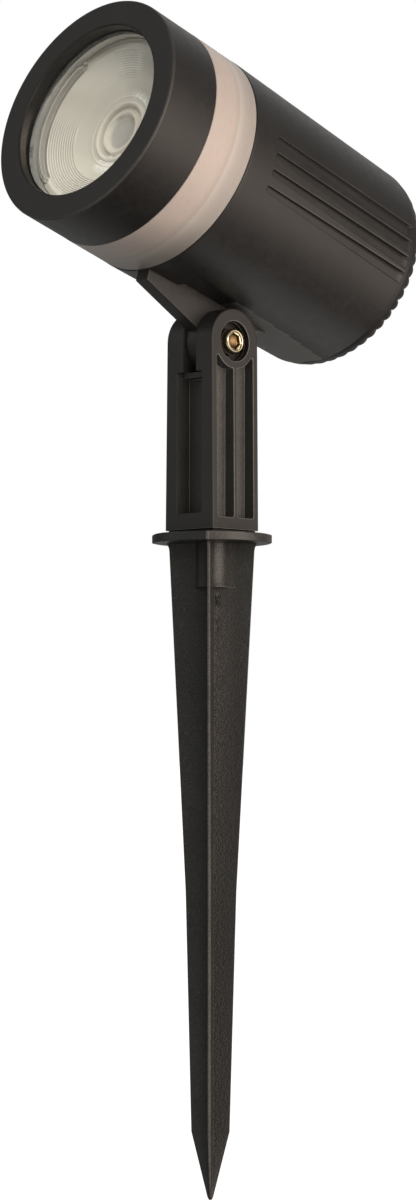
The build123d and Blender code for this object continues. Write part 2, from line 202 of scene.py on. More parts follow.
def plain(name, a, b, rough, metallic=0.0, scale=300, bump=0.00001, **more):
    k = Mat(name)
    n = k.noise(scale, 3, 0.55)
    k.set(Base_Color=k.mix(n, a, b), Roughness=k.grey(n, rough - 0.06, rough + 0.06, 0.3, 0.7), Metallic=metallic,
          Normal=k.bump(n, 0.4, bump), **more)
    return k.m


M = {}
M["black_plastic"] = moulded("black_plastic", (0.0315, 0.0308, 0.0290), (0.0422, 0.0411, 0.0386), 0.46)
M["head_black"] = moulded("head_black", (0.0235, 0.0222, 0.0208), (0.0330, 0.0312, 0.0292), 0.40, mottle=0.8)
# painted light: a lighter copy of the head black for the web's lit sides
M["web_painted_light"] = moulded("web_painted_light", (0.042, 0.0400, 0.0372), (0.056, 0.0535, 0.0495), 0.44, mottle=0.8)
k = Mat("spike_plastic")
cloud, patch, fine, pores = k.noise(55, 4, 0.6), k.noise(420, 3, 0.65), k.noise(1450, 2, 0.6), k.voronoi(1700)
# the grain is coarser towards the mould's parting line, on the side that faces right at the front; its pale pebbles and
# specks there are painted highlight, fading away from the front fin
f1 = k.node("ShaderNodeVectorMath", operation="DOT_PRODUCT")
k.link(k.co, f1.inputs[0])
f1.inputs[1].default_value = (math.cos(math.radians(40.3)), math.sin(math.radians(40.3)), 0)
u1 = f1.outputs["Value"]
coarse = k.math("MULTIPLY", k.grey(u1, 0.0, 1.0, -0.0004, 0.0004), k.grey(u1, 1.0, 0.0, 0.0014, 0.0078))
mixv = k.math("ADD", k.math("MULTIPLY", cloud, 0.30), k.math("ADD", k.math("MULTIPLY", fine, 0.52), k.math("MULTIPLY", patch, 0.18)))
col_s = k.ramp(mixv, [(0.36, (0.0253, 0.0266, 0.0250)), (0.66, (0.0497, 0.0520, 0.0483))])
peb = k.grey(pores, 0.0, 1.0, 0.10, 0.62)
# painted highlight: pale pebbles where the grain is coarse
col_s = k.mix(k.math("MULTIPLY", k.math("MULTIPLY", coarse, peb), 0.85), col_s, (0.118, 0.1130, 0.1045))
dust = k.math("MULTIPLY", k.math("LESS_THAN", k.voronoi(1250), 0.15), k.math("GREATER_THAN", k.noise(260, 2, 0.6), 0.54))
dust_and_glints = k.math("MULTIPLY", k.math("LESS_THAN", k.voronoi(1900), 0.20), k.math("MULTIPLY", coarse, k.math("GREATER_THAN", k.noise(500, 2, 0.6), 0.48)))
col_s = k.mix(k.math("MAXIMUM", k.math("MULTIPLY", dust, 0.6), dust_and_glints), col_s, (0.21, 0.20, 0.185))
szs = k.node("ShaderNodeSeparateXYZ")
k.link(k.co, szs.inputs[0])
# this side grows duller towards the point, and a smeared patch sits under the boss
right_ = k.grey(u1, 0.0, 1.0, -0.0002, 0.0006)
dull = k.grey(szs.outputs["Z"], 0.34, 0.92, -0.120, -0.025)
sc_s = k.node("ShaderNodeVectorMath", operation="SCALE")
k.link(col_s, sc_s.inputs[0])
k.link(k.math("ADD", k.math("MULTIPLY", right_, k.math("SUBTRACT", dull, 1.0)), 1.0), sc_s.inputs["Scale"])
col_s = sc_s.outputs[0]
smear = k.math("MULTIPLY", k.math("MULTIPLY", right_, k.grey(u1, 1.0, 0.0, 0.0018, 0.0036)), k.math("MULTIPLY", k.grey(szs.outputs["Z"], 0.0, 1.0, -0.0330, -0.0190), k.math("LESS_THAN", szs.outputs["Z"], -0.0133)))
col_s = k.mix(k.math("MULTIPLY", smear, k.grey(patch, 0.0, 1.0, 0.42, 0.56)), col_s, (0.0105, 0.0100, 0.0095))
col_s = k.mix(k.math("MULTIPLY", smear, k.math("MULTIPLY", k.math("LESS_THAN", k.voronoi(1800), 0.24), k.math("GREATER_THAN", k.noise(700, 2, 0.6), 0.53))), col_s, (0.30, 0.29, 0.27))
hgt = k.math("ADD", k.math("MULTIPLY", fine, 0.7), k.math("MULTIPLY", pores, 0.6))
bn = k.node("ShaderNodeBump")
bn.inputs["Distance"].default_value = 0.00014
k.link(k.grey(coarse, 0.35, 1.0), bn.inputs["Strength"])
k.link(hgt, bn.inputs["Height"])
k.set(Base_Color=col_s, Roughness=k.grey(k.math("ADD", k.math("MULTIPLY", patch, 0.5), k.math("MULTIPLY", fine, 0.5)), 0.33, 0.51, 0.32, 0.68), Normal=bn.outputs["Normal"], Specular_IOR_Level=0.5)
M["spike_plastic"] = k.m
# painted light: a much lighter copy of the head black for the flat underside, in place of light from below
M["flat_painted_light"] = moulded("flat_painted_light", (0.126, 0.1200, 0.1115), (0.164, 0.1560, 0.1450), 0.50, mottle=0.8)
# painted highlight: a much lighter copy of the black plastic for the bracket's bevelled edges
M["edge_painted_highlight"] = moulded("edge_painted_highlight", (0.225, 0.2150, 0.2000), (0.290, 0.2780, 0.2600), 0.32)
# painted shade: near-black for the joint under the column, where shade falls
M["gap_painted_shade"] = moulded("gap_painted_shade", (0.006, 0.006, 0.006), (0.010, 0.010, 0.010), 0.6)
# painted shade: a darker brownish copy of the plastic for the screw's counterbore
M["recess_painted_shade"] = moulded("recess_painted_shade", (0.030, 0.0245, 0.0205), (0.042, 0.0350, 0.0295), 0.5)
# painted highlight: a lighter copy of the head black for edges that catch the light
M["head_edge_painted_highlight"] = moulded("head_edge_painted_highlight", (0.070, 0.0670, 0.0620), (0.095, 0.0905, 0.0840), 0.36)
# painted shade: near-black for the grooves' shaded upper walls
M["groove_wall_painted_shade"] = moulded("groove_wall_painted_shade", (0.0055, 0.0050, 0.0045), (0.0085, 0.0078, 0.0070), 0.55)
# painted light: a lighter copy of the head black for the groove floors, making up for the shade in them
M["groove_floor_painted_light"] = moulded("groove_floor_painted_light", (0.034, 0.0325, 0.0300), (0.046, 0.0440, 0.0405), 0.42, mottle=0.8)
# painted highlight: a much lighter copy of the spike plastic for edges, with a few pale specks
M["spike_edge_painted_highlight"] = moulded("spike_edge_painted_highlight", (0.110, 0.1050, 0.0975), (0.175, 0.1670, 0.1550), 0.34, grain=1500, depth=0.00005, specks=0.5)
# rougher grain with pale specks, and a lighter colour that is painted light on faces turned towards the key
M["spike_rough_painted_light"] = moulded("spike_rough_painted_light", (0.040, 0.0380, 0.0350), (0.085, 0.0810, 0.0750), 0.34, grain=1900, depth=0.00012, specks=1.6, mottle=0.2)
M["spike_shade"] = moulded("spike_shade", (0.022, 0.0217, 0.0200), (0.034, 0.0333, 0.0307), 0.5, grain=1500, depth=0.00005)
# painted light: a lighter copy of the black plastic for the slot and pocket walls, making up for the shade in them
M["pocket_painted_light"] = moulded("pocket_painted_light", (0.068, 0.0672, 0.0635), (0.092, 0.0910, 0.0860), 0.5)
# painted light: a copy of the black plastic a little lighter than plain, darker than the pocket walls' copy, for the
# slot
M["slot_painted_light"] = moulded("slot_painted_light", (0.036, 0.0360, 0.0340), (0.050, 0.0500, 0.0470), 0.5)
# painted light: a lighter copy of the black plastic for faces inside the column
M["inner_painted_light"] = moulded("inner_painted_light", (0.060, 0.0600, 0.0570), (0.082, 0.0820, 0.0770), 0.55)
# coarse grain with a few specks, in a much lighter colour that is painted light
M["etched_painted_light"] = moulded("etched_painted_light", (0.090, 0.0900, 0.0840), (0.142, 0.1415, 0.1325), 0.52, grain=1700, depth=0.00006, specks=0.35)
k = Mat("mouth_plastic")
sep = k.node("ShaderNodeSeparateXYZ")
k.link(k.co, sep.inputs[0])
# painted light: a pale lit patch on the lower left of the mouth wall, fading out
side = k.grey(sep.outputs["X"], 1.0, 0.0, -0.0265, -0.0200)
up_ = k.grey(sep.outputs["Z"], 1.0, 0.0, 0.119, 0.129)
dep = k.node("ShaderNodeVectorMath", operation="DOT_PRODUCT")
k.link(k.co, dep.inputs[0])
dep.inputs[1].default_value = (0, -CE, SE)
deep_ = k.grey(k.math("SUBTRACT", dep.outputs["Value"], SE * PIVOT * 0.001), 0.0, 1.0, 0.0664, 0.0669)
mouth_painted_light = k.math("MULTIPLY", k.math("MULTIPLY", side, up_), deep_)
k.set(Base_Color=k.mix(k.math("MULTIPLY", mouth_painted_light, k.grey(k.noise(900, 3, 0.6), 0.75, 1.0, 0.35, 0.65)), (0.019, 0.0185, 0.0165), (0.185, 0.175, 0.160)), Roughness=0.40,
      Normal=k.bump(k.noise(2600, 2, 0.6), 0.6, 0.00003))
M["mouth_plastic"] = k.m
M["gland_plastic"] = moulded("gland_plastic", (0.018, 0.018, 0.018), (0.030, 0.030, 0.030), 0.42)

k = Mat("frosted_plastic")
cl = k.noise(90, 3, 0.6)
fi = k.noise(2400, 2, 0.6)
streak = k.node("ShaderNodeMapping")
streak.inputs["Scale"].default_value = (40, 900, 300)
streak.inputs["Rotation"].default_value = (-E, 0, 0)
k.link(k.co, streak.inputs["Vector"])
st = k.noise(1.0, 3, 0.6, streak.outputs[0])
# distance along the lamp axis, in metres from its foot on the hinge plane
along = k.node("ShaderNodeVectorMath", operation="DOT_PRODUCT")
k.link(k.co, along.inputs[0])
along.inputs[1].default_value = (0, -CE, SE)
s_mm = k.math("SUBTRACT", k.math("MULTIPLY", along.outputs["Value"], 1000.0), PIVOT * SE)
# the rear band is greyer and cooler: painted shade of the parts inside the ring
front_band = k.grey(s_mm, 0.0, 1.0, 40.6, 42.2)
warm = k.mix(cl, (0.86, 0.745, 0.670), (0.92, 0.815, 0.745))
cool = k.mix(cl, (0.72, 0.665, 0.61), (0.80, 0.745, 0.69))
colr = k.mix(front_band, cool, warm)
colr = k.mix(k.grey(st, 0.0, 0.16, 0.50, 0.72), colr, (0.62, 0.52, 0.46))
# painted highlight and painted shade at the moulded step between the bands, and at the rounded back edge
seam_painted_light = k.ramp(k.grey(s_mm, 0.0, 1.0, 33.6, 43.6), [(0.0, (1.08,) * 3), (0.03, (1.10,) * 3), (0.07, (0.86,) * 3), (0.25, (0.88,) * 3), (0.50, (0.98,) * 3), (0.64, (1.10,) * 3),
                                                   (0.70, (1.16,) * 3), (0.76, (1.0,) * 3), (0.82, (0.92,) * 3), (0.92, (0.98,) * 3), (1.0, (1.0,) * 3)])
# painted shade: darker towards the bottom
zs_ = k.node("ShaderNodeSeparateXYZ")
k.link(k.co, zs_.inputs[0])
shade = k.grey(zs_.outputs["Z"], 0.52, 1.0, 0.0815, 0.0905)
vm = k.node("ShaderNodeVectorMath", operation="MULTIPLY")
k.link(colr, vm.inputs[0])
k.link(seam_painted_light, vm.inputs[1])
vs = k.node("ShaderNodeVectorMath", operation="SCALE")
k.link(vm.outputs[0], vs.inputs[0])
k.link(shade, vs.inputs["Scale"])
colr = vs.outputs[0]
k.set(Base_Color=colr, Roughness=k.grey(fi, 0.30, 0.44, 0.3, 0.7),
      Subsurface_Weight=0.35, Subsurface_Scale=0.0015, Normal=k.bump(fi, 0.35, 0.00002))
k.p.inputs["Subsurface Radius"].default_value = (1.0, 0.75, 0.6)
M["frosted_plastic"] = k.m

k = Mat("clear_glass")
n = k.noise(140, 3, 0.6)
k.set(Base_Color=(0.97, 0.985, 0.98), Transmission_Weight=1.0, Roughness=k.grey(n, 0.0, 0.012, 0.4, 0.75), IOR=1.45)
# lamps reach the optic through the glass
tr = k.node("ShaderNodeBsdfTransparent")
tr.inputs[0].default_value = (0.95, 0.96, 0.955, 1)
lp = k.node("ShaderNodeLightPath")
mx = k.node("ShaderNodeMixShader")
anyway = k.math("MAXIMUM", lp.outputs["Is Shadow Ray"], lp.outputs["Is Diffuse Ray"])
k.link(anyway, mx.inputs[0])
k.link(k.p.outputs[0], mx.inputs[1])
k.link(tr.outputs[0], mx.inputs[2])
k.link(mx.outputs[0], k.out.inputs[0])
M["clear_glass"] = k.m

k = Mat("clear_optic")
# radius from the lamp axis, in millimetres
rel = k.node("ShaderNodeVectorMath", operation="SUBTRACT")
k.link(k.co, rel.inputs[0])
rel.inputs[1].default_value = (0, OFF * SE * 0.001, (PIVOT + OFF * CE) * 0.001)
crs = k.node("ShaderNodeVectorMath", operation="CROSS_PRODUCT")
k.link(rel.outputs[0], crs.inputs[0])
crs.inputs[1].default_value = (0, -CE, SE)
ln = k.node("ShaderNodeVectorMath", operation="LENGTH")
k.link(crs.outputs[0], ln.inputs[0])
rad = k.math("MULTIPLY", ln.outputs["Value"], 1000.0 / 27.0)


def tone(v_):
    return (v_ * 0.66, v_ * 0.612, v_ * 0.525)


def dot_to(vec):
    d_ = k.node("ShaderNodeVectorMath", operation="DOT_PRODUCT")
    k.link(rel.outputs[0], d_.inputs[0])
    d_.inputs[1].default_value = vec
    return k.math("MULTIPLY", d_.outputs["Value"], 1000.0)


lx, ly = dot_to((1, 0, 0)), dot_to((0, SE, CE))
theta = k.math("ARCTAN2", lx, ly)
# painted highlights: the well's ring bands are brighter and more contrasted on one side, plainer elsewhere
full = k.ramp(rad, [(0.0, (0.45, 0.412, 0.370)), (4.6 / 27, (0.47, 0.432, 0.388)), (5.4 / 27, tone(1.24)), (6.9 / 27, tone(1.24)), (7.3 / 27, tone(0.78)), (8.2 / 27, tone(0.84)), (8.5 / 27, tone(1.24)),
                    (9.7 / 27, tone(1.20)), (10.0 / 27, tone(0.84)), (10.8 / 27, tone(0.90)), (11.05 / 27, tone(1.16)), (11.4 / 27, tone(1.12)), (11.7 / 27, tone(0.98)), (16.0 / 27, tone(1.0)), (25.05 / 27, tone(1.05)),
                    (25.35 / 27, tone(0.74)), (1.0, tone(0.70))])
soft = k.ramp(rad, [(0.0, (0.45, 0.412, 0.370)), (4.6 / 27, (0.47, 0.432, 0.388)), (5.4 / 27, tone(1.04)), (6.9 / 27, tone(1.02)), (7.3 / 27, tone(0.90)), (8.2 / 27, tone(0.92)), (8.5 / 27, tone(1.06)),
                    (9.7 / 27, tone(1.02)), (10.0 / 27, tone(0.96)), (16.0 / 27, tone(1.0)), (25.05 / 27, tone(1.05)), (25.35 / 27, tone(0.74)), (1.0, tone(0.70))])
side_ = k.grey(k.math("COSINE", k.math("ADD", theta, 2.2)), 0.0, 1.0, -0.1, 0.75)
lens_col = k.mix(side_, soft, full)
# ridge crests as painted highlights with painted shade between them, drawn out on the left and below, and a few bright
# ones near the top
r_mm = k.math("MULTIPLY", rad, 27.0)
wave = k.math("SINE", k.math("MULTIPLY", k.math("SUBTRACT", k.math("SUBTRACT", 24.0, r_mm), 0.06), 2 * math.pi / 0.65))
ridged = k.math("MAXIMUM", k.grey(theta, 1.0, 0.0, -1.50, -1.22), k.grey(theta, 0.0, 1.0, 1.9, 2.3))
inzone = k.math("MULTIPLY", k.grey(rad, 0.0, 1.0, 16.3 / 27, 16.8 / 27), k.grey(rad, 1.0, 0.0, 24.0 / 27, 24.2 / 27))
lens_col = k.mix(k.math("MULTIPLY", k.math("MULTIPLY", inzone, ridged), k.grey(wave, 0.75, 0.0, -1.0, 0.5)), lens_col, (0.38, 0.352, 0.310))
lens_col = k.mix(k.math("MULTIPLY", k.math("MULTIPLY", inzone, ridged), k.grey(wave, 0.0, 0.8, 0.1, 0.9)), lens_col, (0.90, 0.855, 0.775))
near_top = k.grey(k.math("ABSOLUTE", k.math("SUBTRACT", theta, 0.10)), 1.0, 0.0, 0.18, 0.32)
zone_t = k.math("MULTIPLY", k.grey(rad, 0.0, 1.0, 17.6 / 27, 18.8 / 27), k.grey(rad, 1.0, 0.0, 22.6 / 27, 23.6 / 27))
stroke = k.math("MULTIPLY", k.math("MULTIPLY", near_top, zone_t), k.math("MULTIPLY", k.grey(wave, 0.0, 1.0, 0.25, 0.9), k.grey(k.noise(260, 2, 0.6), 0.45, 1.0, 0.38, 0.54)))
lens_col = k.mix(stroke, lens_col, (1.0, 0.97, 0.92))
lens_col = k.mix(k.math("MULTIPLY", k.math("MULTIPLY", near_top, zone_t), k.grey(wave, 0.16, 0.0, -1.0, 0.0)), lens_col, (0.42, 0.40, 0.365))
# painted shade in the groove inside the broken rim
arc = k.math("MULTIPLY", k.grey(theta, 0.0, 1.0, -2.27, -2.20), k.grey(theta, 1.0, 0.0, -0.70, -0.60))
trough = k.math("MULTIPLY", arc, k.math("MULTIPLY", k.grey(rad, 0.0, 1.0, 24.05 / 27, 24.25 / 27), k.grey(rad, 1.0, 0.0, 24.85 / 27, 25.05 / 27)))
lens_col = k.mix(trough, lens_col, (0.235, 0.220, 0.195))
# glints on the fluted bands below the well, fainter ones above it
low = k.math("MULTIPLY", k.grey(ly, 1.0, 0.0, -7.4, -6.6), k.math("MULTIPLY", k.grey(lx, 0.0, 1.0, -8.0, -4.5), k.grey(lx, 1.0, 0.0, 5.0, 7.0)))
b1 = k.math("MULTIPLY", k.grey(rad, 0.0, 1.0, 6.9 / 27, 7.1 / 27), k.grey(rad, 1.0, 0.0, 8.7 / 27, 8.9 / 27))
b2 = k.math("MULTIPLY", k.grey(rad, 0.0, 1.0, 9.6 / 27, 9.9 / 27), k.grey(rad, 1.0, 0.0, 13.0 / 27, 14.4 / 27))
gr = k.math("MULTIPLY", k.grey(k.noise(1500, 3, 0.75), 0.15, 1.0, 0.44, 0.53), k.math("MAXIMUM", b1, b2))
lens_col = k.mix(k.math("MULTIPLY", gr, low), lens_col, (1.0, 0.96, 0.92))
high = k.math("MULTIPLY", k.math("MULTIPLY", k.grey(theta, 0.0, 1.0, 0.12, 0.35), k.grey(theta, 1.0, 0.0, 0.8, 1.1)), k.math("MULTIPLY", k.grey(rad, 0.0, 1.0, 10.6 / 27, 11.4 / 27), k.grey(rad, 1.0, 0.0, 12.6 / 27, 13.6 / 27)))
lens_col = k.mix(k.math("MULTIPLY", k.math("MULTIPLY", high, 0.8), k.grey(k.noise(1100, 2, 0.7), 0.2, 1.0, 0.42, 0.58)), lens_col, (0.95, 0.96, 0.90))
# painted light: brighter towards the lower left
g_ = k.math("ADD", k.math("ADD", k.math("MULTIPLY", ly, -0.013), k.math("MULTIPLY", lx, -0.004)), 0.36)
sc = k.node("ShaderNodeVectorMath", operation="SCALE")
k.link(lens_col, sc.inputs[0])
g_f = k.ramp(k.grey(g_, 0.0, 1.0, 0.0, 0.60), [(0.0, (1.36,) * 3), (0.17, (1.10,) * 3), (0.48, (0.98,) * 3), (0.79, (1.11,) * 3), (0.93, (1.34,) * 3), (1.0, (1.42,) * 3)])
k.link(g_f, sc.inputs["Scale"])
mn = k.node("ShaderNodeVectorMath", operation="MINIMUM")
k.link(sc.outputs[0], mn.inputs[0])
mn.inputs[1].default_value = (1.0, 0.97, 0.93)
nz = k.noise(120, 3, 0.6)
k.set(Base_Color=mn.outputs[0], Roughness=k.grey(nz, 0.07, 0.13, 0.3, 0.7), Coat_Weight=0.6, Coat_Roughness=0.05,
      Normal=k.bump(nz, 0.3, 0.00001))
M["clear_optic"] = k.m
k = Mat("optic_rim")
rel = k.node("ShaderNodeVectorMath", operation="SUBTRACT")
k.link(k.co, rel.inputs[0])
rel.inputs[1].default_value = (0, OFF * SE * 0.001, (PIVOT + OFF * CE) * 0.001)
crs = k.node("ShaderNodeVectorMath", operation="CROSS_PRODUCT")
k.link(rel.outputs[0], crs.inputs[0])
crs.inputs[1].default_value = (0, -CE, SE)
ln = k.node("ShaderNodeVectorMath", operation="LENGTH")
k.link(crs.outputs[0], ln.inputs[0])
# painted highlight on the rim's ridge and painted shade in the lines beside it, as bands by radius
rim_r = k.grey(ln.outputs["Value"], 0.0, 1.0, 0.0248, 0.0268)
rim_c = k.ramp(rim_r, [(0.0, (0.30, 0.285, 0.255)), (0.18, (0.52, 0.49, 0.44)), (0.32, (0.74, 0.70, 0.63)), (0.46, (0.42, 0.395, 0.36)), (0.78, (0.36, 0.345, 0.325)), (0.88, (0.50, 0.475, 0.44)), (1.0, (0.30, 0.295, 0.285))])
nz = k.noise(400, 3, 0.6)
k.set(Base_Color=k.mix(k.grey(nz, 0.0, 0.2, 0.4, 0.7), rim_c, (0.34, 0.33, 0.31)), Roughness=k.grey(nz, 0.08, 0.16, 0.3, 0.7), Coat_Weight=0.6, Coat_Roughness=0.05, Normal=k.bump(nz, 0.3, 0.00001))
M["optic_rim"] = k.m
# painted shade: a darker brass colour for inside the screw's hex socket
M["socket_painted_shade"] = plain("socket_painted_shade", (0.145, 0.088, 0.040), (0.26, 0.170, 0.085), 0.22, metallic=1.0, scale=1500)
k = Mat("holder_plastic")
hz = k.node("ShaderNodeSeparateXYZ")
k.link(k.co, hz.inputs[0])
nz = k.noise(200, 3, 0.55)
# painted light: lighter towards the top, where the bezel's lip shades the holder
lowc = k.mix(nz, (0.430, 0.425, 0.402), (0.500, 0.498, 0.472))
highc = k.mix(nz, (0.80, 0.765, 0.715), (0.88, 0.850, 0.800))
k.set(Base_Color=k.mix(k.grey(hz.outputs["Z"], 0.0, 1.0, 0.124, 0.143), lowc, highc), Roughness=k.grey(nz, 0.34, 0.46, 0.3, 0.7), Normal=k.bump(nz, 0.4, 0.00001))
M["holder_plastic"] = k.m
M["black_rubber"] = plain("black_rubber", (0.018, 0.018, 0.018), (0.030, 0.030, 0.029), 0.7, scale=1500, bump=0.00003)
M["yellow_zinc"] = plain("yellow_zinc", (0.84, 0.72, 0.47), (0.94, 0.84, 0.62), 0.15, metallic=1.0, scale=900)
M["insert_brass"] = plain("insert_brass", (0.70, 0.52, 0.22), (0.80, 0.62, 0.30), 0.3, metallic=1.0, scale=600)
M["steel"] = plain("steel", (0.52, 0.52, 0.52), (0.64, 0.64, 0.64), 0.3, metallic=1.0, scale=600)
M["cast_aluminium"] = plain("cast_aluminium", (0.60, 0.60, 0.61), (0.74, 0.74, 0.75), 0.38, metallic=1.0, scale=900, bump=0.00002)
M["board_white"] = plain("board_white", (0.78, 0.79, 0.78), (0.86, 0.87, 0.86), 0.35, scale=250)
M["led_yellow"] = plain("led_yellow", (0.82, 0.66, 0.16), (0.90, 0.76, 0.24), 0.35, scale=500)
M["pad_grey"] = plain("pad_grey", (0.38, 0.40, 0.43), (0.48, 0.50, 0.53), 0.75, scale=900)
M["board_green"] = plain("board_green", (0.03, 0.18, 0.08), (0.05, 0.24, 0.11), 0.35, scale=400)
M["component_black"] = plain("component_black", (0.025, 0.025, 0.025), (0.04, 0.04, 0.04), 0.5, scale=700)
M["transformer_yellow"] = plain("transformer_yellow", (0.66, 0.53, 0.12), (0.78, 0.64, 0.2), 0.45, scale=300)
M["terminal_grey"] = plain("terminal_grey", (0.28, 0.30, 0.31), (0.36, 0.38, 0.39), 0.5, scale=500)
M["wire_red"] = plain("wire_red", (0.45, 0.03, 0.025), (0.56, 0.05, 0.04), 0.45, scale=500)

slot_of = {s["node"]: s["material_slot"] for s in frame["record"]["subparts"]}
for name, o in NODES.items():
    for sl in o.material_slots:
        sl.material = M[slot_of[name]]

# ------------------------------------------------------------------ shape helpers, in millimetres
def fillet2d(pts, seg=4):
    """Closed outline from (u, v, radius) corners, its corners rounded."""
    out, n = [], len(pts)
    for i in range(n):
        p0, p1, p2 = (Vector(pts[(i + j) % n][:2]) for j in (-1, 0, 1))
        rad = pts[i][2] if len(pts[i]) > 2 else 0.0
        a, b = (p0 - p1), (p2 - p1)
        la, lb = a.length, b.length
        if rad <= 0 or la < 1e-6 or lb < 1e-6:
            out.append((p1.x, p1.y))
            continue
        a, b = a / la, b / lb
        half = math.acos(max(-1, min(1, a.dot(b)))) / 2
        if half > math.radians(89.5):
            out.append((p1.x, p1.y))
            continue
        t = min(rad / math.tan(half), 0.49 * la, 0.49 * lb)
        r = t * math.tan(half)
        c = p1 + (a + b).normalized() * (r / math.sin(half))
        q0, q1 = p1 + a * t - c, p1 + b * t - c
        turn = math.atan2(q0.x * q1.y - q0.y * q1.x, q0.dot(q1))
        for j in range(seg + 1):
            w = turn * j / seg
            out.append((c.x + q0.x * math.cos(w) - q0.y * math.sin(w), c.y + q0.x * math.sin(w) + q0.y * math.cos(w)))
    return out


def rows_mesh(rows, closed):
    """Quads between rows of points, each row a closed loop; a row of one point is a pole."""
    verts, start = [], []
    for r in rows:
        start.append(len(verts))
        verts += r
    faces, n = [], len(rows)
    for i in range(n if closed else n - 1):
        j = (i + 1) % n
        a, b, la, lb = start[i], start[j], len(rows[i]), len(rows[j])
        m = max(la, lb)
        if m == 1:
            continue
        for k in range(m):
            k2 = (k + 1) % m
            if la == 1:
                faces.append((a, b + k2, b + k))
            elif lb == 1:
                faces.append((a + k, a + k2, b))
            else:
                faces.append((a + k, a + k2, b + k2, b + k))
    return verts, faces


def lathe(profile, n=192, closed=True, wob=None):
    """Turned solid about local Z from (radius, height) points; wob(theta, r, z) may move a point."""
    rows = []
    for r, z in profile:
        if r < 1e-6:
            rows.append([(0, 0, z)])
        else:
            row = []
            for k in range(n):
                t = 2 * math.pi * k / n
                rr, zz = wob(t, r, z) if wob else (r, z)
                row.append((rr * math.sin(t), rr * math.cos(t), zz))
            rows.append(row)
    return rows_mesh(rows, closed)


def raw(name, verts, faces, place=None):
    """A mesh object in millimetres, still to be finished."""
    m = bpy.data.meshes.new(name)
    m.from_pydata([tuple(v) for v in verts], [], faces)
    if place:
        m.transform(place)
    bm = bmesh.new()
    bm.from_mesh(m)
    bmesh.ops.recalc_face_normals(bm, faces=bm.faces)
    bm.to_mesh(m)
    bm.free()
    o = bpy.data.objects.new(name, m)
    scene.collection.objects.link(o)
    return o


def applied(o):
    dg = bpy.context.evaluated_depsgraph_get()
    dg.update()
    m = bpy.data.meshes.new_from_object(o.evaluated_get(dg), preserve_all_data_layers=True, depsgraph=dg)
    o.modifiers.clear()
    old, o.data = o.data, m
    bpy.data.meshes.remove(old)
    return o


def boolean(o, tools, op="UNION"):
    for t in tools:
        b = o.modifiers.new("b", "BOOLEAN")
        b.operation, b.object, b.solver = op, t, "EXACT"
    applied(o)
    for t in tools:
        bpy.data.objects.remove(t)
    return o


def tidy(o, merge=0.002, flat=0.6):
    bm = bmesh.new()
    bm.from_mesh(o.data)
    bmesh.ops.remove_doubles(bm, verts=bm.verts, dist=merge)
    bmesh.ops.dissolve_degenerate(bm, edges=bm.edges, dist=merge)
    if flat:
        bmesh.ops.dissolve_limit(bm, angle_limit=math.radians(flat), verts=bm.verts, edges=bm.edges, use_dissolve_boundaries=False)
    bmesh.ops.recalc_face_normals(bm, faces=bm.faces)
    bm.to_mesh(o.data)
    bm.free()
    return o


def bevel(o, width, seg=3, angle=28.0, edge=False, clamp=True):
    b = o.modifiers.new("bevel", "BEVEL")
    b.width, b.segments, b.limit_method, b.angle_limit = width, seg, "ANGLE", math.radians(angle)
    b.use_clamp_overlap, b.harden_normals, b.miter_outer = clamp, False, "MITER_ARC"
    if edge:
        # new edge faces get the second slot
        for _ in range(2 - len(o.data.materials)):
            o.data.materials.append(None)
        b.material = 1
    return applied(o)


def done(o, mat, body, replaces=None, place=None, sharp=40.0, weighted=True, edge=None):
    """Scales a millimetre piece into the frame, shades it and hangs it on its body."""
    m = o.data
    m.transform(MM @ place if place else MM)
    kept = [p.material_index for p in m.polygons]
    m.materials.clear()
    m.materials.append(mat)
    if edge:
        m.materials.append(edge)
    for p, was in zip(m.polygons, kept):
        p.material_index = 1 if edge and was == 1 else 0
    bm = bmesh.new()
    bm.from_mesh(m)
    bmesh.ops.recalc_face_normals(bm, faces=bm.faces)
    lim = math.radians(sharp)
    for f in bm.faces:
        f.smooth = True
    for e in bm.edges:
        e.smooth = not (len(e.link_faces) == 2 and e.calc_face_angle(0) > lim)
    bm.to_mesh(m)
    bm.free()
    if weighted:
        w = o.modifiers.new("weighted", "WEIGHTED_NORMAL")
        w.keep_sharp, w.weight = True, 60
        applied(o)
    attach(o, body)
    if replaces:
        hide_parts(*([replaces] if isinstance(replaces, str) else replaces))
    return o


def paint(o, mat, test):
    """Gives the faces that pass test(centre, normal), in millimetres, a second material."""
    m = o.data
    m.materials.append(mat)
    k_ = len(m.materials) - 1
    for p in m.polygons:
        if test(p.center * 1000, p.normal):
            p.material_index = k_
    return o


def copy_node(name, node):
    """A millimetre copy of a CAD node's mesh, free of its import normals."""
    src = NODES[node].data
    verts = [tuple(v.co * 1000) for v in src.vertices]
    faces = [tuple(p.vertices) for p in src.polygons]
    return tidy(raw(name, verts, faces), 0.0015, 0.4)


def soften(node, new, width, mat, body, seg=3, angle=30.0, place=None, sharp=40, edge=None, cut=None, tweak=None):
    o = copy_node(new, node)
    if tweak:
        tweak(o)
    if cut:
        boolean(o, cut, "DIFFERENCE")
        tidy(o, 0.0015, 0.4)
    bevel(o, width, seg, angle, bool(edge), not edge)
    return done(o, mat, body, node, place, sharp, edge=edge)


def smooth01(x):
    x = max(0.0, min(1.0, x))
    return x * x * (3 - 2 * x)


def softmax(a, b, k):
    h = max(0.0, min(1.0, 0.5 + 0.5 * (a - b) / k))
    return b + (a - b) * h + k * h * (1 - h)


def softmin(a, b, k):
    return -softmax(-a, -b, k)


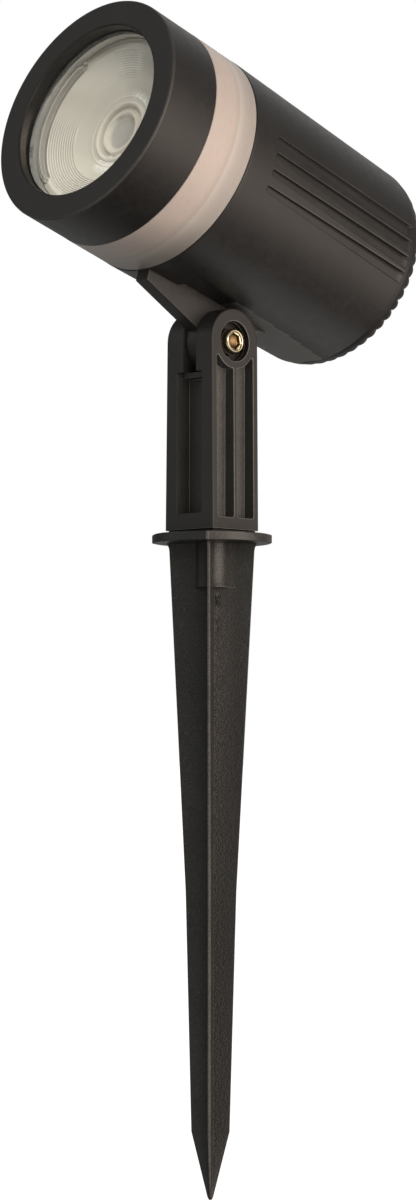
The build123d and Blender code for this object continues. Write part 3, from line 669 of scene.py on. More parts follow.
# ------------------------------------------------------------------ lamp head: barrel with its grooves, web and knuckle
def make_housing():
    r0, r1, s0, s1 = 35.1, 33.44, 33.66, -41.0
    tops = (76.5, 85.3, 94.0, 102.5)
    q_in = (-0.12, -0.02, 0.0, 0.03, 0.06, 0.09, 0.13, 0.17, 0.24, 0.32, 0.44, 0.60, 0.80, 0.92, 0.97, 1.0, 1.03, 1.06)

    def base(s):
        return r0 + (s - s0) / (s1 - s0) * (r1 - r0)

    def span(i, s):
        f = (23.8 - s) / (23.8 + 42.0)
        return tops[i] - 1.1 * f, 3.4 + (6.5 - 3.4) * f, 0.85 + (1.3 - 0.85) * f

    half = [("c", t) for t in [x * 3.0 for x in range(0, 25)]]
    for i in range(4):
        half += [("g", i, q) for q in q_in]
        if i < 3:
            half += [("m", i, w) for w in (0.25, 0.5, 0.75)]
    half += [("c", t) for t in (111.5, 115, 118.5, 122, 125.5, 129, 132.5, 136, 139.5, 143, 146.5, 150, 153, 155.5, 157.5,
                                159, 160, 161, 162, 163, 164, 165, 166, 167, 168, 169, 170, 171, 172, 173, 174.5, 176, 178, 180)]

    def theta(c, s):
        if c[0] == "c":
            return c[1]
        if c[0] == "g":
            t, w, _ = span(c[1], s)
            return t + c[2] * w
        t, w, _ = span(c[1], s)
        t2, w2, _ = span(c[1] + 1, s)
        a_, b_ = t + 1.06 * w, t2 - 0.12 * w2
        return a_ + (b_ - a_) * c[2]

    def groove_end(q):
        return 23.8 - 0.7 * (1 - math.sqrt(max(0.0, 1 - (2 * max(0, min(1, q)) - 1) ** 2)))

    def drop(c, s):
        if c[0] != "g":
            return 0.0
        i, q = c[1], c[2]
        _, w, d = span(i, s)
        front = smooth01((groove_end(q) - s) / 0.42)
        back = 0.12 + 0.88 * smooth01((s + 40.9) / 2.6)
        wall = smooth01((q + 0.02) / 0.19)
        floor_d = 0.68 * (d * (1 - q) + 0.30 * q)
        lip = 1 - smooth01((q - 0.97) / 0.06)
        return front * back * wall * floor_d * lip

    def radius(c, s):
        t = theta(c, s)
        r = base(s) - drop(c, s)
        if t > 150:
            f = smooth01((21.12 - s) / 0.28)
            if f > 0:
                flat = 33.1 / max(0.2, abs(math.cos(math.radians(t))))
                r = r + f * (softmin(r, flat, 0.12) - r)
        return r

    rows_s = [33.66, 33.64, 33.57, 33.45, 33.25, 32.5, 31.0, 29.0, 27.0, 25.2, 24.4]
    rows_s += [24.0 - 0.11 * i for i in range(16)]
    rows_s += [22.0, 21.7, 21.4, 21.2, 21.12, 21.05, 20.98, 20.91, 20.84, 20.7, 20.4]
    rows_s += [19.0 - 2.0 * i for i in range(30)]
    rows_s += [-38.3, -38.6, -39.4, -39.8, -40.2, -40.6, -40.75, -40.88, -40.96, -41.0]
    rows_s = sorted(set(rows_s), reverse=True)
    cols = half + [("-",) + c for c in reversed(half[1:-1])]
    rows = []
    for s in rows_s:
        row = []
        edge = 0.0
        if s > 33.2:
            u = (s - 33.26) / 0.40
            edge = 0.28 * (1 - math.sqrt(max(0, 1 - min(1, max(0, u)) ** 2)))
        if s < -40.7:
            u = (-40.7 - s) / 0.30
            edge = 0.30 * (1 - math.sqrt(max(0, 1 - min(1, u) ** 2)))
        for c in cols:
            neg = c[0] == "-"
            cc = c[1:] if neg else c
            t = math.radians(theta(cc, s))
            r = radius(cc, s) - edge
            row.append(((-1 if neg else 1) * r * math.sin(t), r * math.cos(t), s))
        rows.append(row)
    # inside: from the back edge forwards, through the inner flange to the front bore
    for r, s in ((31.0, -41.0), (31.0, -30.0), (31.0, -10.0), (31.0, 10.0), (31.0, 24.5), (27.7, 24.5), (27.7, 28.6), (33.0, 28.6), (33.0, 33.66)):
        row = []
        for c in cols:
            neg = c[0] == "-"
            cc = c[1:] if neg else c
            t = math.radians(theta(cc, max(-41.0, min(33.66, s))))
            row.append(((-1 if neg else 1) * r * math.sin(t), r * math.cos(t), s))
        rows.append(row)
    v, f = rows_mesh(rows, True)
    barrel = raw("housing_shell", v, f)

    # web and knuckle, drawn as one outline in (s, height above the hinge)
    kr = 8.8
    pts = []
    # from the web's front top down its underside, round the knuckle, up the back
    pts += [(33.3, 12.4), (33.3, 6.3)]
    a0, a1 = math.atan2(0.65, 8.78), math.radians(-216)
    for j in range(49):
        w = a0 + (a1 - a0) * j / 48
        pts.append((kr * math.cos(w), kr * math.sin(w)))
    pts += [(-8.4, 8.25), (-13.0, 9.65), (-18.8, 11.37), (-18.8, 12.4)]
    w = 2.5
    sect = [(-w, 0.35), (-w + 0.10, 0.10), (-w + 0.35, 0.0), (w - 0.35, 0.0), (w - 0.10, 0.10), (w, 0.35)]
    n = len(pts)
    # inset along the outline's normal, for the rounded edges
    def inset(d):
        res = []
        for i in range(n):
            p0, p1, p2 = Vector(pts[i - 1]), Vector(pts[i]), Vector(pts[(i + 1) % n])
            e1, e2 = (p1 - p0).normalized(), (p2 - p1).normalized()
            n1, n2 = Vector((e1.y, -e1.x)), Vector((e2.y, -e2.x))
            m_ = (n1 + n2)
            m_ = m_ / max(0.3, m_.dot(n1))
            res.append(p1 - m_ * d * (-1 if area > 0 else 1) * -1 if False else p1 - m_ * d)
        return res
    area = sum(pts[i][0] * pts[(i + 1) % n][1] - pts[(i + 1) % n][0] * pts[i][1] for i in range(n))
    if area < 0:
        pts.reverse()
    rows = []
    for x, d in sect:
        rows.append([(x, h, s) for s, h in inset(d)])
    v, f = rows_mesh(rows, False)
    v = [tuple(p) for p in v]
    base_i = len(v) - n
    f = [tuple(q) for q in f] + [tuple(range(n))[::-1], tuple(range(base_i, base_i + n))]
    lug = raw("lug", v, f, Matrix.Translation((0, -OFF, 0)))
    bore_v, bore_f = lathe([(0, -6), (2.05, -6), (2.05, 6), (0, 6)], 64, False)
    bore = raw("bore", bore_v, bore_f, Matrix.Translation((0, -OFF, 0)) @ Matrix.Rotation(math.pi / 2, 4, "Y"))
    # keep the web out of the hollow inside
    hollow_v, hollow_f = lathe([(0, -41), (31.5, -41), (31.5, 27), (33.0, 28.6), (33.0, 40), (0, 40)], 128, False)
    hollow = raw("hollow", hollow_v, hollow_f)
    boolean(lug, [hollow, bore], "DIFFERENCE")
    rails = []
    for sx in (1, -1):
        for y0, y1 in ((-8.0, -6.7), (-10.9, -9.6)):
            x0, x1 = sorted((sx * 26.2, sx * 30.4))
            vv = [(x, y, z) for x in (x0, x1) for y in (y0, y1) for z in (-30.0, 18.0)]
            rails.append(raw("rail", vv, [(0, 1, 3, 2), (4, 6, 7, 5), (0, 4, 5, 1), (2, 3, 7, 6), (0, 2, 6, 4), (1, 5, 7, 3)]))
    boolean(barrel, [lug] + rails, "UNION")
    o = done(barrel, M["head_black"], "head", "housing", LAMP, 42)
    inv = LAMP.inverted()

    # painted light: the web's sides get the lighter copy of the head black
    def on_web(c_, n_):
        q = inv @ c_
        return abs(q.x) < 2.6 and q.y < -33.2 and abs(n_.x) > 0.6
    paint(o, M["web_painted_light"], on_web)

    # painted light: the flat underside gets the lighter copy of the head black
    def on_flat(c_, n_):
        q = inv @ c_
        return -41.0 < q.z < 3.0 and -33.3 < q.y < -32.9 and (inv.to_3x3() @ n_).y < -0.97
    paint(o, M["flat_painted_light"], on_flat)

    def in_groove(c_, wanted):
        q = inv @ c_
        r_ = math.hypot(q.x, q.y)
        if not (-41.0 < q.z < 24.2) or r_ < 32:
            return False
        t_ = math.degrees(math.atan2(abs(q.x), q.y))
        for i in range(4):
            t0, w_, _ = span(i, q.z)
            g = (t_ - t0) / w_
            if not -0.12 < g < 1.06:
                continue
            end = groove_end(g)
            inside_ = end - 0.42 < q.z < end and -0.02 < g < 1.0
            if wanted == "dark":
                return q.z < end and (-0.02 < g < (0.24 if i < 2 else 0.32) or (g > 0.97 and g < 1.03) or inside_)
            if wanted == "edge":
                return q.z < end + 0.1 and -0.12 < g < -0.02
            return q.z < end - 0.42 and 0.17 < g < 0.97 and q.z > -38.5
        return False
    # painted light on the groove floors
    paint(o, M["groove_floor_painted_light"], lambda c_, n_: in_groove(c_, "floor"))
    # painted highlight along the land just above each groove
    paint(o, M["head_edge_painted_highlight"], lambda c_, n_: in_groove(c_, "edge"))
    # painted shade on the grooves' upper walls and ends
    return paint(o, M["groove_wall_painted_shade"], lambda c_, n_: in_groove(c_, "dark"))


shell = make_housing()

# ------------------------------------------------------------------ front bezel
v, f = lathe(fillet2d([(33.0, 51.2, 0), (34.98, 51.2, 0.22), (34.98, 69.48, 0.75), (27.0, 69.48, 0.55), (27.0, 65.9, 0.18), (26.4, 65.9, 0.12), (27.3, 65.2, 0),
                       (29.3, 65.2, 0), (29.3, 56.3, 0), (33.0, 56.3, 0)], 5), 256)
bez = done(raw("front_bezel_shell", v, f), M["head_black"], "head", "front_bezel", LAMP, 35)
LINV = LAMP.inverted()
# painted highlight on the bezel's rounded front edge
paint(bez, M["head_edge_painted_highlight"], lambda c_, n_: (lambda q: q.z > 68.7 and math.hypot(q.x, q.y) > 34.35)(LINV @ c_))
# painted light on the mouth wall's lower left
paint(bez, M["mouth_plastic"], lambda c_, n_: (lambda q: 65.8 < q.z < 68.95 and math.hypot(q.x, q.y) < 27.2)(LINV @ c_))

# ------------------------------------------------------------------ translucent ring
v, f = lathe(fillet2d([(33.0, 33.66, 0), (34.9, 33.66, 0.5), (35.02, 34.4, 0.3), (35.0, 40.2, 0.6), (34.94, 41.0, 0.6), (35.03, 41.9, 0.6), (35.04, 51.2, 0.2), (33.0, 51.2, 0),
                       (33.0, 52.6, 0), (32.0, 52.6, 0), (32.0, 54.0, 0), (33.0, 54.0, 0), (33.0, 56.1, 0.2), (31.0, 56.1, 0.2),
                       (31.0, 49.5, 0.5), (32.4, 48.0, 0.8), (32.4, 42.4, 0.4), (31.9, 41.2, 0.6), (32.4, 40.0, 0.4), (32.4, 36.4, 0.6), (31.0, 34.9, 0.4), (31.0, 28.8, 0.2), (33.0, 28.8, 0.2),
                       (33.0, 30.4, 0), (32.0, 30.4, 0), (32.0, 31.8, 0), (33.0, 31.8, 0)], 4), 256)
done(raw("glow_ring", v, f), M["frosted_plastic"], "head", "diffuser_ring", LAMP, 40)


# ------------------------------------------------------------------ rear cap with its scalloped grip
def make_cap():
    rr, ar, cs = 33.15, 7.4, -41.2
    per, lobes = 12, 50
    n = per * lobes
    prof = [("p", 6.25, -45.6), ("p", 6.25, -48.4), ("p", 6.45, -48.6), ("p", 15.0, -48.6)]
    prof += [("a", x * 90.0 / 26) for x in range(26, -1, -1)]
    prof += [("p", 33.15, -41.0), ("p", 31.0, -41.0), ("p", 31.0, -39.6), ("p", 30.0, -39.6), ("p", 30.0, -38.0), ("p", 31.0, -38.0), ("p", 31.0, -36.0),
             ("p", 28.6, -36.0), ("p", 28.6, -45.6)]
    rows = []
    for c in prof:
        row = []
        for i in range(n):
            t = 2 * math.pi * i / n
            if c[0] == "p":
                r, s = c[1], c[2]
            else:
                al = math.radians(c[1])
                u = abs(((i / per) % 1.0) * 2 - 1)          # 1 in a valley, 0 on a lobe
                deep = max(0.0, 1.05 - 7.4 * (1 - math.cos(al - math.radians(45))))
                cut = deep * (0.15 * u + 0.85 * (1 - math.sqrt(max(0.0, 1 - u ** 2.2))))
                r = (rr - ar) + (ar - cut) * math.cos(al)
                s = cs - (ar - cut) * math.sin(al)
            row.append((r * math.sin(t), r * math.cos(t), s))
        rows.append(row)
    v, f = rows_mesh(rows, True)
    return done(raw("rear_cap_shell", v, f), M["head_black"], "head", "rear_cap", LAMP, 50, weighted=False)


make_cap()

# ------------------------------------------------------------------ moulded optic: fine ridged bowl, smooth cone, fluted band, ringed well
def make_optic():
    front = [(26.7, 58.4), (26.7, 60.2), (25.5, 60.15), (25.0, 60.0), (24.85, 59.95), (24.7, 59.9), (24.5, 59.85), (24.3, 59.8), (24.15, 59.7)]
    r = 24.0

    def bowl(r_):
        return 59.62 - 3.92 * max(0.0, (24.0 - r_) / 7.6) ** 0.9
    while r > 16.5:
        s_ = bowl(r)
        front += [(r, s_ - 0.07), (r - 0.10, s_ + 0.08), (r - 0.22, s_ + 0.13), (r - 0.34, s_ + 0.06), (r - 0.46, s_ - 0.09)]
        r -= 0.65
    dz = -1.3
    front += [(16.2, 56.92 + dz), (15.6, 56.72 + dz), (14.8, 56.35 + dz), (14.0, 55.95 + dz), (13.2, 55.55 + dz), (12.8, 55.35 + dz), (12.5, 55.2 + dz), (12.2, 55.08 + dz),
              (11.6, 54.95 + dz), (11.4, 55.08 + dz), (11.2, 55.12 + dz), (11.0, 54.95 + dz), (10.7, 54.8 + dz), (10.4, 54.75 + dz), (9.95, 54.6 + dz), (9.75, 54.7 + dz), (9.6, 55.05 + dz), (9.3, 55.3 + dz), (8.9, 55.25 + dz), (8.5, 54.8 + dz), (8.3, 54.1 + dz),
              (8.1, 53.75 + dz), (7.6, 53.65 + dz), (7.2, 53.8 + dz), (7.0, 54.3 + dz), (6.75, 54.75 + dz), (6.3, 54.85 + dz), (5.8, 54.55 + dz), (5.4, 53.95 + dz), (5.1, 53.5 + dz),
              (4.6, 53.2 + dz), (3.0, 52.9 + dz), (0.0, 52.8 + dz)]
    back = [(0, 40.6), (3.2, 40.6), (3.2, 38.4), (8.6, 38.4), (14, 45), (19, 52), (22.9, 58.4)]

    def flutes(t, r_, z_):
        th = math.degrees(t) if t <= math.pi else math.degrees(t) - 360
        if z_ > 55.0 and 16.4 < r_ < 24.05:
            amp = max(smooth01((-70 - th) / 14), smooth01((th - 108) / 20), 0.8 * smooth01((16 - abs(th - 3)) / 6), 0.22)
            z_ = bowl(r_) + (z_ - bowl(r_)) * amp
        if z_ > 59.0 and 24.1 < r_ < 24.95:
            z_ -= 0.75 * smooth01((th + 130) / 4) * smooth01((-34 - th) / 4) * smooth01(1 - abs(r_ - 24.55) / 0.5)
        if 9.9 < r_ < 13.0 and z_ > 52:
            k_ = smooth01((r_ - 9.9) / 0.6) * smooth01((13.0 - r_) / 0.5) * (1.0 if abs(th) > 140 else 0.35)
            z_ += 0.11 * k_ * (1 if round(t * 512 / (2 * math.pi)) % 4 < 2 else -1)
        return r_, z_
    v, f = lathe(front + back, 512, False, flutes)
    return done(raw("optic_body", v, f), M["clear_optic"], "head", "optic_lens", LAMP, 25, weighted=False)


optic = make_optic()


def make_rim():
    """Raised broken rim round the optic's left side, with a small tab at each end."""
    sect = fillet2d([(26.68, 59.9, 0), (26.55, 61.0, 0.1), (26.3, 61.15, 0.15), (26.0, 60.85, 0.3), (25.7, 61.15, 0.2), (25.42, 61.5, 0.15), (25.12, 61.3, 0.15), (24.98, 59.9, 0)], 3)
    rows = []
    a0, a1, nn = math.radians(-129), math.radians(-36), 96
    for i_ in range(nn + 1):
        t_ = a0 + (a1 - a0) * i_ / nn
        end = min(i_, nn - i_) / nn
        k_ = 0.35 + 0.65 * smooth01(end / 0.05)
        rows.append([(r_ * math.sin(t_), r_ * math.cos(t_), 59.9 + (z_ - 59.9) * k_) for r_, z_ in sect])
    v, f = rows_mesh(rows, False)
    n_ = len(sect)
    f = [tuple(q) for q in f] + [tuple(range(n_))[::-1], tuple(range(len(v) - n_, len(v)))]
    o = raw("optic_rim", v, f)
    # tabs
    for deg in (-130.5, -34.5):
        bm_ = bmesh.new()
        bm_.from_mesh(o.data)
        ret = bmesh.ops.create_icosphere(bm_, subdivisions=3, radius=1.0)
        w_ = math.radians(deg)
        bmesh.ops.scale(bm_, vec=(0.75, 0.95, 0.75), verts=ret["verts"])
        bmesh.ops.rotate(bm_, cent=(0, 0, 0), matrix=Matrix.Rotation(-w_, 3, "Z"), verts=ret["verts"])
        bmesh.ops.translate(bm_, vec=(25.6 * math.sin(w_), 25.6 * math.cos(w_), 60.35), verts=ret["verts"])
        bm_.to_mesh(o.data)
        bm_.free()
    return done(o, M["optic_rim"], "head", None, LAMP, 40, weighted=False)


lens_rim = make_rim()

# ------------------------------------------------------------------ clevis column, hinge hardware, gland: crisp pieces with softened edges
v, f = lathe([(4.05, 6.0), (6.1, 6.0), (6.1, 7.9), (4.05, 7.9)], 96)
# a shadow gap runs round the foot, above the flange
fo, fi_, z0_, z1_ = 12.0, (9.25, 9.10), 2.6, 3.75
gv = [(sx * a_, sy * b_, z_) for z_ in (z0_, z1_) for a_, b_ in ((fo, fo), fi_) for sx, sy in ((-1, -1), (1, -1), (1, 1), (-1, 1))]
gf = []
for i in range(4):
    j = (i + 1) % 4
    gf += [(i, j, 4 + j, 4 + i), (8 + i, 12 + i, 12 + j, 8 + j), (i, 8 + i, 8 + j, j), (4 + i, 4 + j, 12 + j, 12 + i)]


def deeper(o):
    """Side pockets as deep as the photograph shows."""
    for v_ in o.data.vertices:
        if abs(abs(v_.co.x) - 6.55) < 0.02 and 7 < v_.co.z < 56 and abs(v_.co.y) > 1.0:
            v_.co.x = math.copysign(6.05, v_.co.x)
        # slimmer middle rib
        y_ = abs(v_.co.y)
        if abs(v_.co.x) > 5.9 and 7.0 < v_.co.z < 53.5 and 1.0 < y_ < 1.85:
            v_.co.y -= math.copysign(0.40 * (1.85 - y_) / 0.83, v_.co.y)


# the bracket's bevels get the painted edge highlight as their second material
col = soften("bracket", "clevis_column", 0.17, M["black_plastic"], "bracket", 3, 32, edge=M["edge_painted_highlight"], cut=[raw("recess", v, f, HINGE), raw("foot_gap", gv, gf)], tweak=deeper)
# floors of the side pockets keep the coarse spark-eroded grain of the tool, and a lighter colour that is painted light
def only_plain(o, test):
    """Limits a test to faces that haven't got the painted edge highlight."""
    idx = {tuple(round(x_, 5) for x_ in p.center): p.material_index for p in o.data.polygons}
    return lambda c_, n_: idx.get(tuple(round(x_ / 1000, 5) for x_ in c_), 0) == 0 and test(c_, n_)


def inside_column(c_, n_):
    if c_.z > 60.2 and math.hypot(c_.y, c_.z - 60.2) > 9.4:
        return False
    return abs(c_.x) < 9.2 and abs(c_.y) < 9.35 and c_.z > 5


# painted light on the faces inside the column
paint(col, M["inner_painted_light"], only_plain(col, inside_column))
# painted shade in the counterbore round the screw head
paint(col, M["recess_painted_shade"], lambda c_, n_: 5.8 < c_.x < 9.2 and math.hypot(c_.y, c_.z - 60.2) < 6.2)
# painted shade round the column's foot, above the flange
paint(col, M["gap_painted_shade"], lambda c_, n_: c_.z < 3.77)
paint(col, M["black_plastic"], lambda c_, n_: abs(c_.x) < 7.0 and abs(c_.y) > 7.8 and 4 < c_.z < 66)
# painted light on the walls inside the slot and pockets
paint(col, M["pocket_painted_light"], lambda c_, n_: abs(c_.x) < 5.35 and c_.z > 6 and c_.z < 56 and abs(n_.x) > 0.8)
# painted light on the slot's inner walls and ledges
paint(col, M["slot_painted_light"], lambda c_, n_: abs(c_.x) < 3.3 and c_.z > 20 and abs(n_.x) > 0.8 or abs(c_.x) < 5.6 and 20 < c_.z < 60 and abs(n_.z) > 0.8)
# painted light and coarse grain on the side pockets' floors
paint(col, M["etched_painted_light"], lambda c_, n_: abs(n_.x) > 0.99 and 5.4 < abs(c_.x) < 6.4 and 1.0 < abs(c_.y) < 7.75 and 7 < c_.z < 53)


def make_screw():
    head = [(0.0, 10.0)]
    prof = [(2.62, 9.35), (2.72, 9.62), (2.95, 9.82), (3.2, 9.84), (3.42, 9.7), (3.55, 9.4), (3.72, 9.05), (3.8, 8.7), (3.8, 7.7), (3.7, 7.6), (2.0, 7.6), (2.0, -12.2), (1.8, -12.5), (0.0, -12.5)]
    v, f = lathe([(0.0, 9.3), (2.45, 9.3)] + prof, 128, False)
    o = raw("button_screw", v, f)
    hexa = [(2.62 * math.cos(math.radians(60 * i_ + 12)), 2.62 * math.sin(math.radians(60 * i_ + 12))) for i_ in range(6)]
    vv = [(0.97 * a_, 0.97 * b_, 8.15) for a_, b_ in hexa] + [(a_, b_, 9.6) for a_, b_ in hexa] + [(0, 0, 6.75)]
    ff = [(12, (i_ + 1) % 6, i_) for i_ in range(6)] + [(i_, (i_ + 1) % 6, 6 + (i_ + 1) % 6, 6 + i_) for i_ in range(6)] + [tuple(range(6, 12))]
    boolean(o, [raw("socket", vv, ff)], "DIFFERENCE")
    bevel(o, 0.06, 2, 35)
    o = done(o, M["yellow_zinc"], "bracket", "hinge_screw", HINGE, 35, weighted=False)
    # painted shade inside the hex socket
    return paint(o, M["socket_painted_shade"], lambda c_, n_: 6.5 < c_.x < 9.3 and math.hypot(c_.y, c_.z - 60.2) < 2.5)


screw = make_screw()
soften("hinge_nut", "lock_nut", 0.12, M["yellow_zinc"], "bracket", 2, 32)
soften("gland_body", "gland_hex", 0.25, M["gland_plastic"], "head", 3, 32)
soften("gland_nut", "gland_dome", 0.25, M["gland_plastic"], "head", 3, 32)


# ------------------------------------------------------------------ ground spike
def make_spike():
    az0 = math.radians(40.3)
    # four-finned blade: one cross-shaped outline carried down to the point
    def fin_r(z):
        pts = [(0.6, 12.9), (0.0, 12.9), (-104.0, 7.58), (-175.0, 5.69), (-195.1, 0.65)]
        for (za, ra), (zb, rb) in zip(pts, pts[1:]):
            if za >= z >= zb:
                r = ra + (rb - ra) * (za - z) / (za - zb)
                break
        if z > -2.4:
            r += 0.75 * (min(1.0, (z + 2.4) / 2.4)) ** 2.2
        return r
    zs = [0.6, 0.0, -0.2, -0.45, -0.75, -1.1, -1.6, -2.4, -6, -12, -20, -32, -45, -60, -75, -90, -104, -118, -132, -146, -160, -170, -174.2, -175.0, -176,
          -180, -184, -188, -191, -193, -194.3, -194.9, -195.1]
    rows = []
    for z in zs:
        r = fin_r(z)
        t = 1.75 / 2
        if z < -175:
            t = 0.875 - 0.50 * ((-175 - z) / 20.1) ** 1.6
        c = min(0.36, r * 0.4, t * 0.45)
        ins = 0.06 if r > 3 else 0.03
        if z < -194.8:
            r *= 0.72
            c = min(c, r * 0.4)
        te = t * 0.52
        c = min(c, 0.22)
        arm = [(t + ins, t), (r * 0.55, t * 0.82), (r - c, te), (r - c * 0.30, te - c * 0.30), (r, te - c), (r, 0.16), (r, 0.0)]
        arm = [(u, v) for u, v in arm]
        full = arm + [(u, -v) for u, v in reversed(arm[:-1])]
        row = []
        for kf in range(4):
            w = az0 - math.pi / 2 + kf * math.pi / 2
            seq = list(reversed(full))
            for u, v_ in seq:
                row.append((u * math.cos(w) - v_ * math.sin(w), u * math.sin(w) + v_ * math.cos(w), z))
        rows.append(row)
    v, f = rows_mesh(rows, False)
    n = len(rows[0])
    f = [tuple(q) for q in f] + [tuple(range(n))[::-1], tuple(range(len(v) - n, len(v)))]
    blade = raw("spike_moulding", v, f)

    # flange: the halves of the mould meet over the fins, where the rim keeps a slight corner
    def rim(t, r, z):
        if r < 15:
            return r, z
        azi = math.atan2(math.sin(t), -math.cos(t))        # from -Y towards +X, for x = r sin t, y = r cos t
        d = (azi - az0 + math.pi / 4) % (math.pi / 2) - math.pi / 4
        dip = 0.50 * (1 - math.exp(-abs(d) / 0.10))
        return r - dip * min(1.0, (r - 15) / 2.5), z
    prof = fillet2d([(0.0, 0.0, 0), (18.05, 0.0, 0.3), (18.05, 2.65, 0.45), (0.0, 2.65, 0)], 4)
    prof = [p for p in prof]
    v, f = lathe([(0.0, 0.0), (14.0, 0.0), (16.5, 0.0)] + [p for p in prof if p[0] > 1] + [(16.5, 2.65), (14.0, 2.65), (8.6, 2.65), (0.0, 2.65)], 360, False, rim)
    flange = raw("flange", v, f)
    # boss and thicker fin roots
    v, f = lathe([(0.0, 0.4), (4.7, 0.4), (4.7, -9.5), (4.78, -11.4), (4.95, -12.5), (5.15, -13.05), (5.12, -13.22), (4.95, -13.3), (0.0, -13.3)], 64, False)
    boss = raw("boss", v, f)
    arms = []
    for kf in range(4):
        w = az0 - math.pi / 2 + kf * math.pi / 2
        vv, ff = [], []
        prof = [(2.0, -0.98), (5.2, -0.92), (7.2, -0.80), (7.2, 0.80), (5.2, 0.92), (2.0, 0.98)]
        for z in (0.4, -13.1, -13.3):
            k_ = 1.0 if z > -13.2 else 0.93
            vv += [(2 + (u - 2) * (0.96 if z < -13.2 else 1), y * k_, z) for u, y in prof]
        for lv in range(2):
            for j in range(6):
                a_, b_ = lv * 6 + j, lv * 6 + (j + 1) % 6
                ff.append((a_, b_, b_ + 6, a_ + 6))
        ff += [tuple(range(6))[::-1], tuple(range(12, 18))]
        arms.append(raw("arm", vv, ff, Matrix.Rotation(w, 4, "Z")))
    boolean(blade, [flange, boss] + arms, "UNION")
    v, f = lathe([(0, -12.0), (3.9, -12.0), (3.9, 4.0), (0, 4.0)], 64, False)
    boolean(blade, [raw("insert_bore", v, f)], "DIFFERENCE")
    o = done(blade, M["spike_plastic"], "spike", "ground_spike", None, 32)

    def fin_uv(c_):
        """Nearest fin's outward and sideways distances, and which fin, 0 at the front left to 3."""
        best = None
        for kf in range(4):
            w = az0 - math.pi / 2 + kf * math.pi / 2
            u = c_.x * math.cos(w) + c_.y * math.sin(w)
            if best is None or u > best[0]:
                best = (u, -c_.x * math.sin(w) + c_.y * math.cos(w), kf)
        return best

    # the front fin's right-hand side: rougher grain with painted light
    def rough_painted_light_side(c_, n_):
        u, v_, kf = fin_uv(c_)
        return -194 < c_.z < -0.6 and v_ > 0.3 and u < fin_r(c_.z) - 0.25 and abs(n_.z) < 0.5 and kf == 0

    def shaded_boss(c_, n_):
        u, v_, kf = fin_uv(c_)
        az_n = math.degrees(math.atan2(n_.x, -n_.y))
        return -13.6 < c_.z < -0.2 and math.hypot(c_.x, c_.y) < 7.8 and (v_ < -0.92 or math.hypot(c_.x, c_.y) > 4.4 and abs(v_) > 0.92) and -95 < az_n < 38
    paint(o, M["spike_shade"], shaded_boss)
    # rougher grain and painted light on the boss faces turned to the right
    paint(o, M["spike_rough_painted_light"], lambda c_, n_: -13.1 < c_.z < -0.2 and 4.4 < math.hypot(c_.x, c_.y) < 5.6 and 42 < math.degrees(math.atan2(n_.x, -n_.y)) < 128)
    # painted highlight along the ledge under the boss, on the right only
    paint(o, M["spike_edge_painted_highlight"], lambda c_, n_: -13.45 < c_.z < -13.02 and 4.9 < math.hypot(c_.x, c_.y) < 7.4 and math.degrees(math.atan2(c_.x, -c_.y)) > 42)
    paint(o, M["spike_rough_painted_light"], rough_painted_light_side)
    # painted highlight along the fins' outer edges
    paint(o, M["spike_edge_painted_highlight"], lambda c_, n_: -194.6 < c_.z < -0.5 and fin_uv(c_)[0] > fin_r(c_.z) - 0.10)
    # rougher grain and painted light on the flange rim right of the corner
    paint(o, M["spike_rough_painted_light"], lambda c_, n_: 0.1 < c_.z < 2.7 and math.hypot(c_.x, c_.y) > 16.9 and 40.3 < math.degrees(math.atan2(c_.x, -c_.y)) < 132)
    # painted highlight at the flange's front corner and along its top edge to the right
    paint(o, M["spike_edge_painted_highlight"], lambda c_, n_: 0.1 < c_.z < 2.7 and math.hypot(c_.x, c_.y) > 16.9 and 38.8 < math.degrees(math.atan2(c_.x, -c_.y)) < 41.8)
    paint(o, M["spike_edge_painted_highlight"], lambda c_, n_: 2.15 < c_.z < 2.7 and math.hypot(c_.x, c_.y) > 17.2 and 40.3 < math.degrees(math.atan2(c_.x, -c_.y)) < 78)
    # painted shade on the flange top under the column
    return paint(o, M["gap_painted_shade"], lambda c_, n_: c_.z > 2.6 and math.hypot(c_.x, c_.y) < 9.0)


make_spike()

# ------------------------------------------------------------------ camera, at the photograph's viewing angle
a, D, zc, yaw, pitch, roll = (math.radians(44.6), 0.928527, -0.124805, math.radians(0.069), math.radians(2.939), math.radians(0.141))
az = a + yaw
C = Vector((D * math.sin(a), -D * math.cos(a), zc + 0.0602))
fw = Vector((-math.sin(az) * math.cos(pitch), math.cos(az) * math.cos(pitch), math.sin(pitch)))
rt = Vector((math.cos(az), math.sin(az), 0))
up = rt.cross(fw)
rt2 = rt * math.cos(roll) + up * math.sin(roll)
up2 = -rt * math.sin(roll) + up * math.cos(roll)
cam = bpy.data.objects.new("camera", bpy.data.cameras.new("camera"))
cam.data.lens = 93.0877
cam.data.sensor_width = 36
cam.data.clip_start = 0.05
cam.data.clip_end = 100
R = Matrix((rt2, up2, -fw)).transposed().to_4x4()
cam.matrix_world = Matrix.Translation(C) @ R
scene.collection.objects.link(cam)
scene.camera = cam

# ------------------------------------------------------------------ stage and light
k = Mat("floor")
n = k.noise(6, 3, 0.5)
k.set(Base_Color=k.mix(n, (0.86, 0.86, 0.86), (0.90, 0.90, 0.90)), Roughness=0.8, Emission_Color=(1, 1, 1), Emission_Strength=0.86)
bm = bmesh.new()
bmesh.ops.create_grid(bm, x_segments=8, y_segments=8, size=40)
fm = bpy.data.meshes.new("floor")
bm.to_mesh(fm)
bm.free()
floor = bpy.data.objects.new("floor", fm)
fm.materials.append(k.m)
floor.location.z = -0.1951 - 0.0002
floor.visible_diffuse = False
floor.visible_glossy = False
scene.collection.objects.link(floor)

# the camera sees a white backdrop; the object is lit by a dim room with soft bright areas
world = bpy.data.worlds.new("studio")
scene.world = world
world.use_nodes = True
t = world.node_tree
t.nodes.clear()


def wn(kind, **kw):
    nd = t.nodes.new(kind)
    for key, v in kw.items():
        setattr(nd, key, v)
    return nd


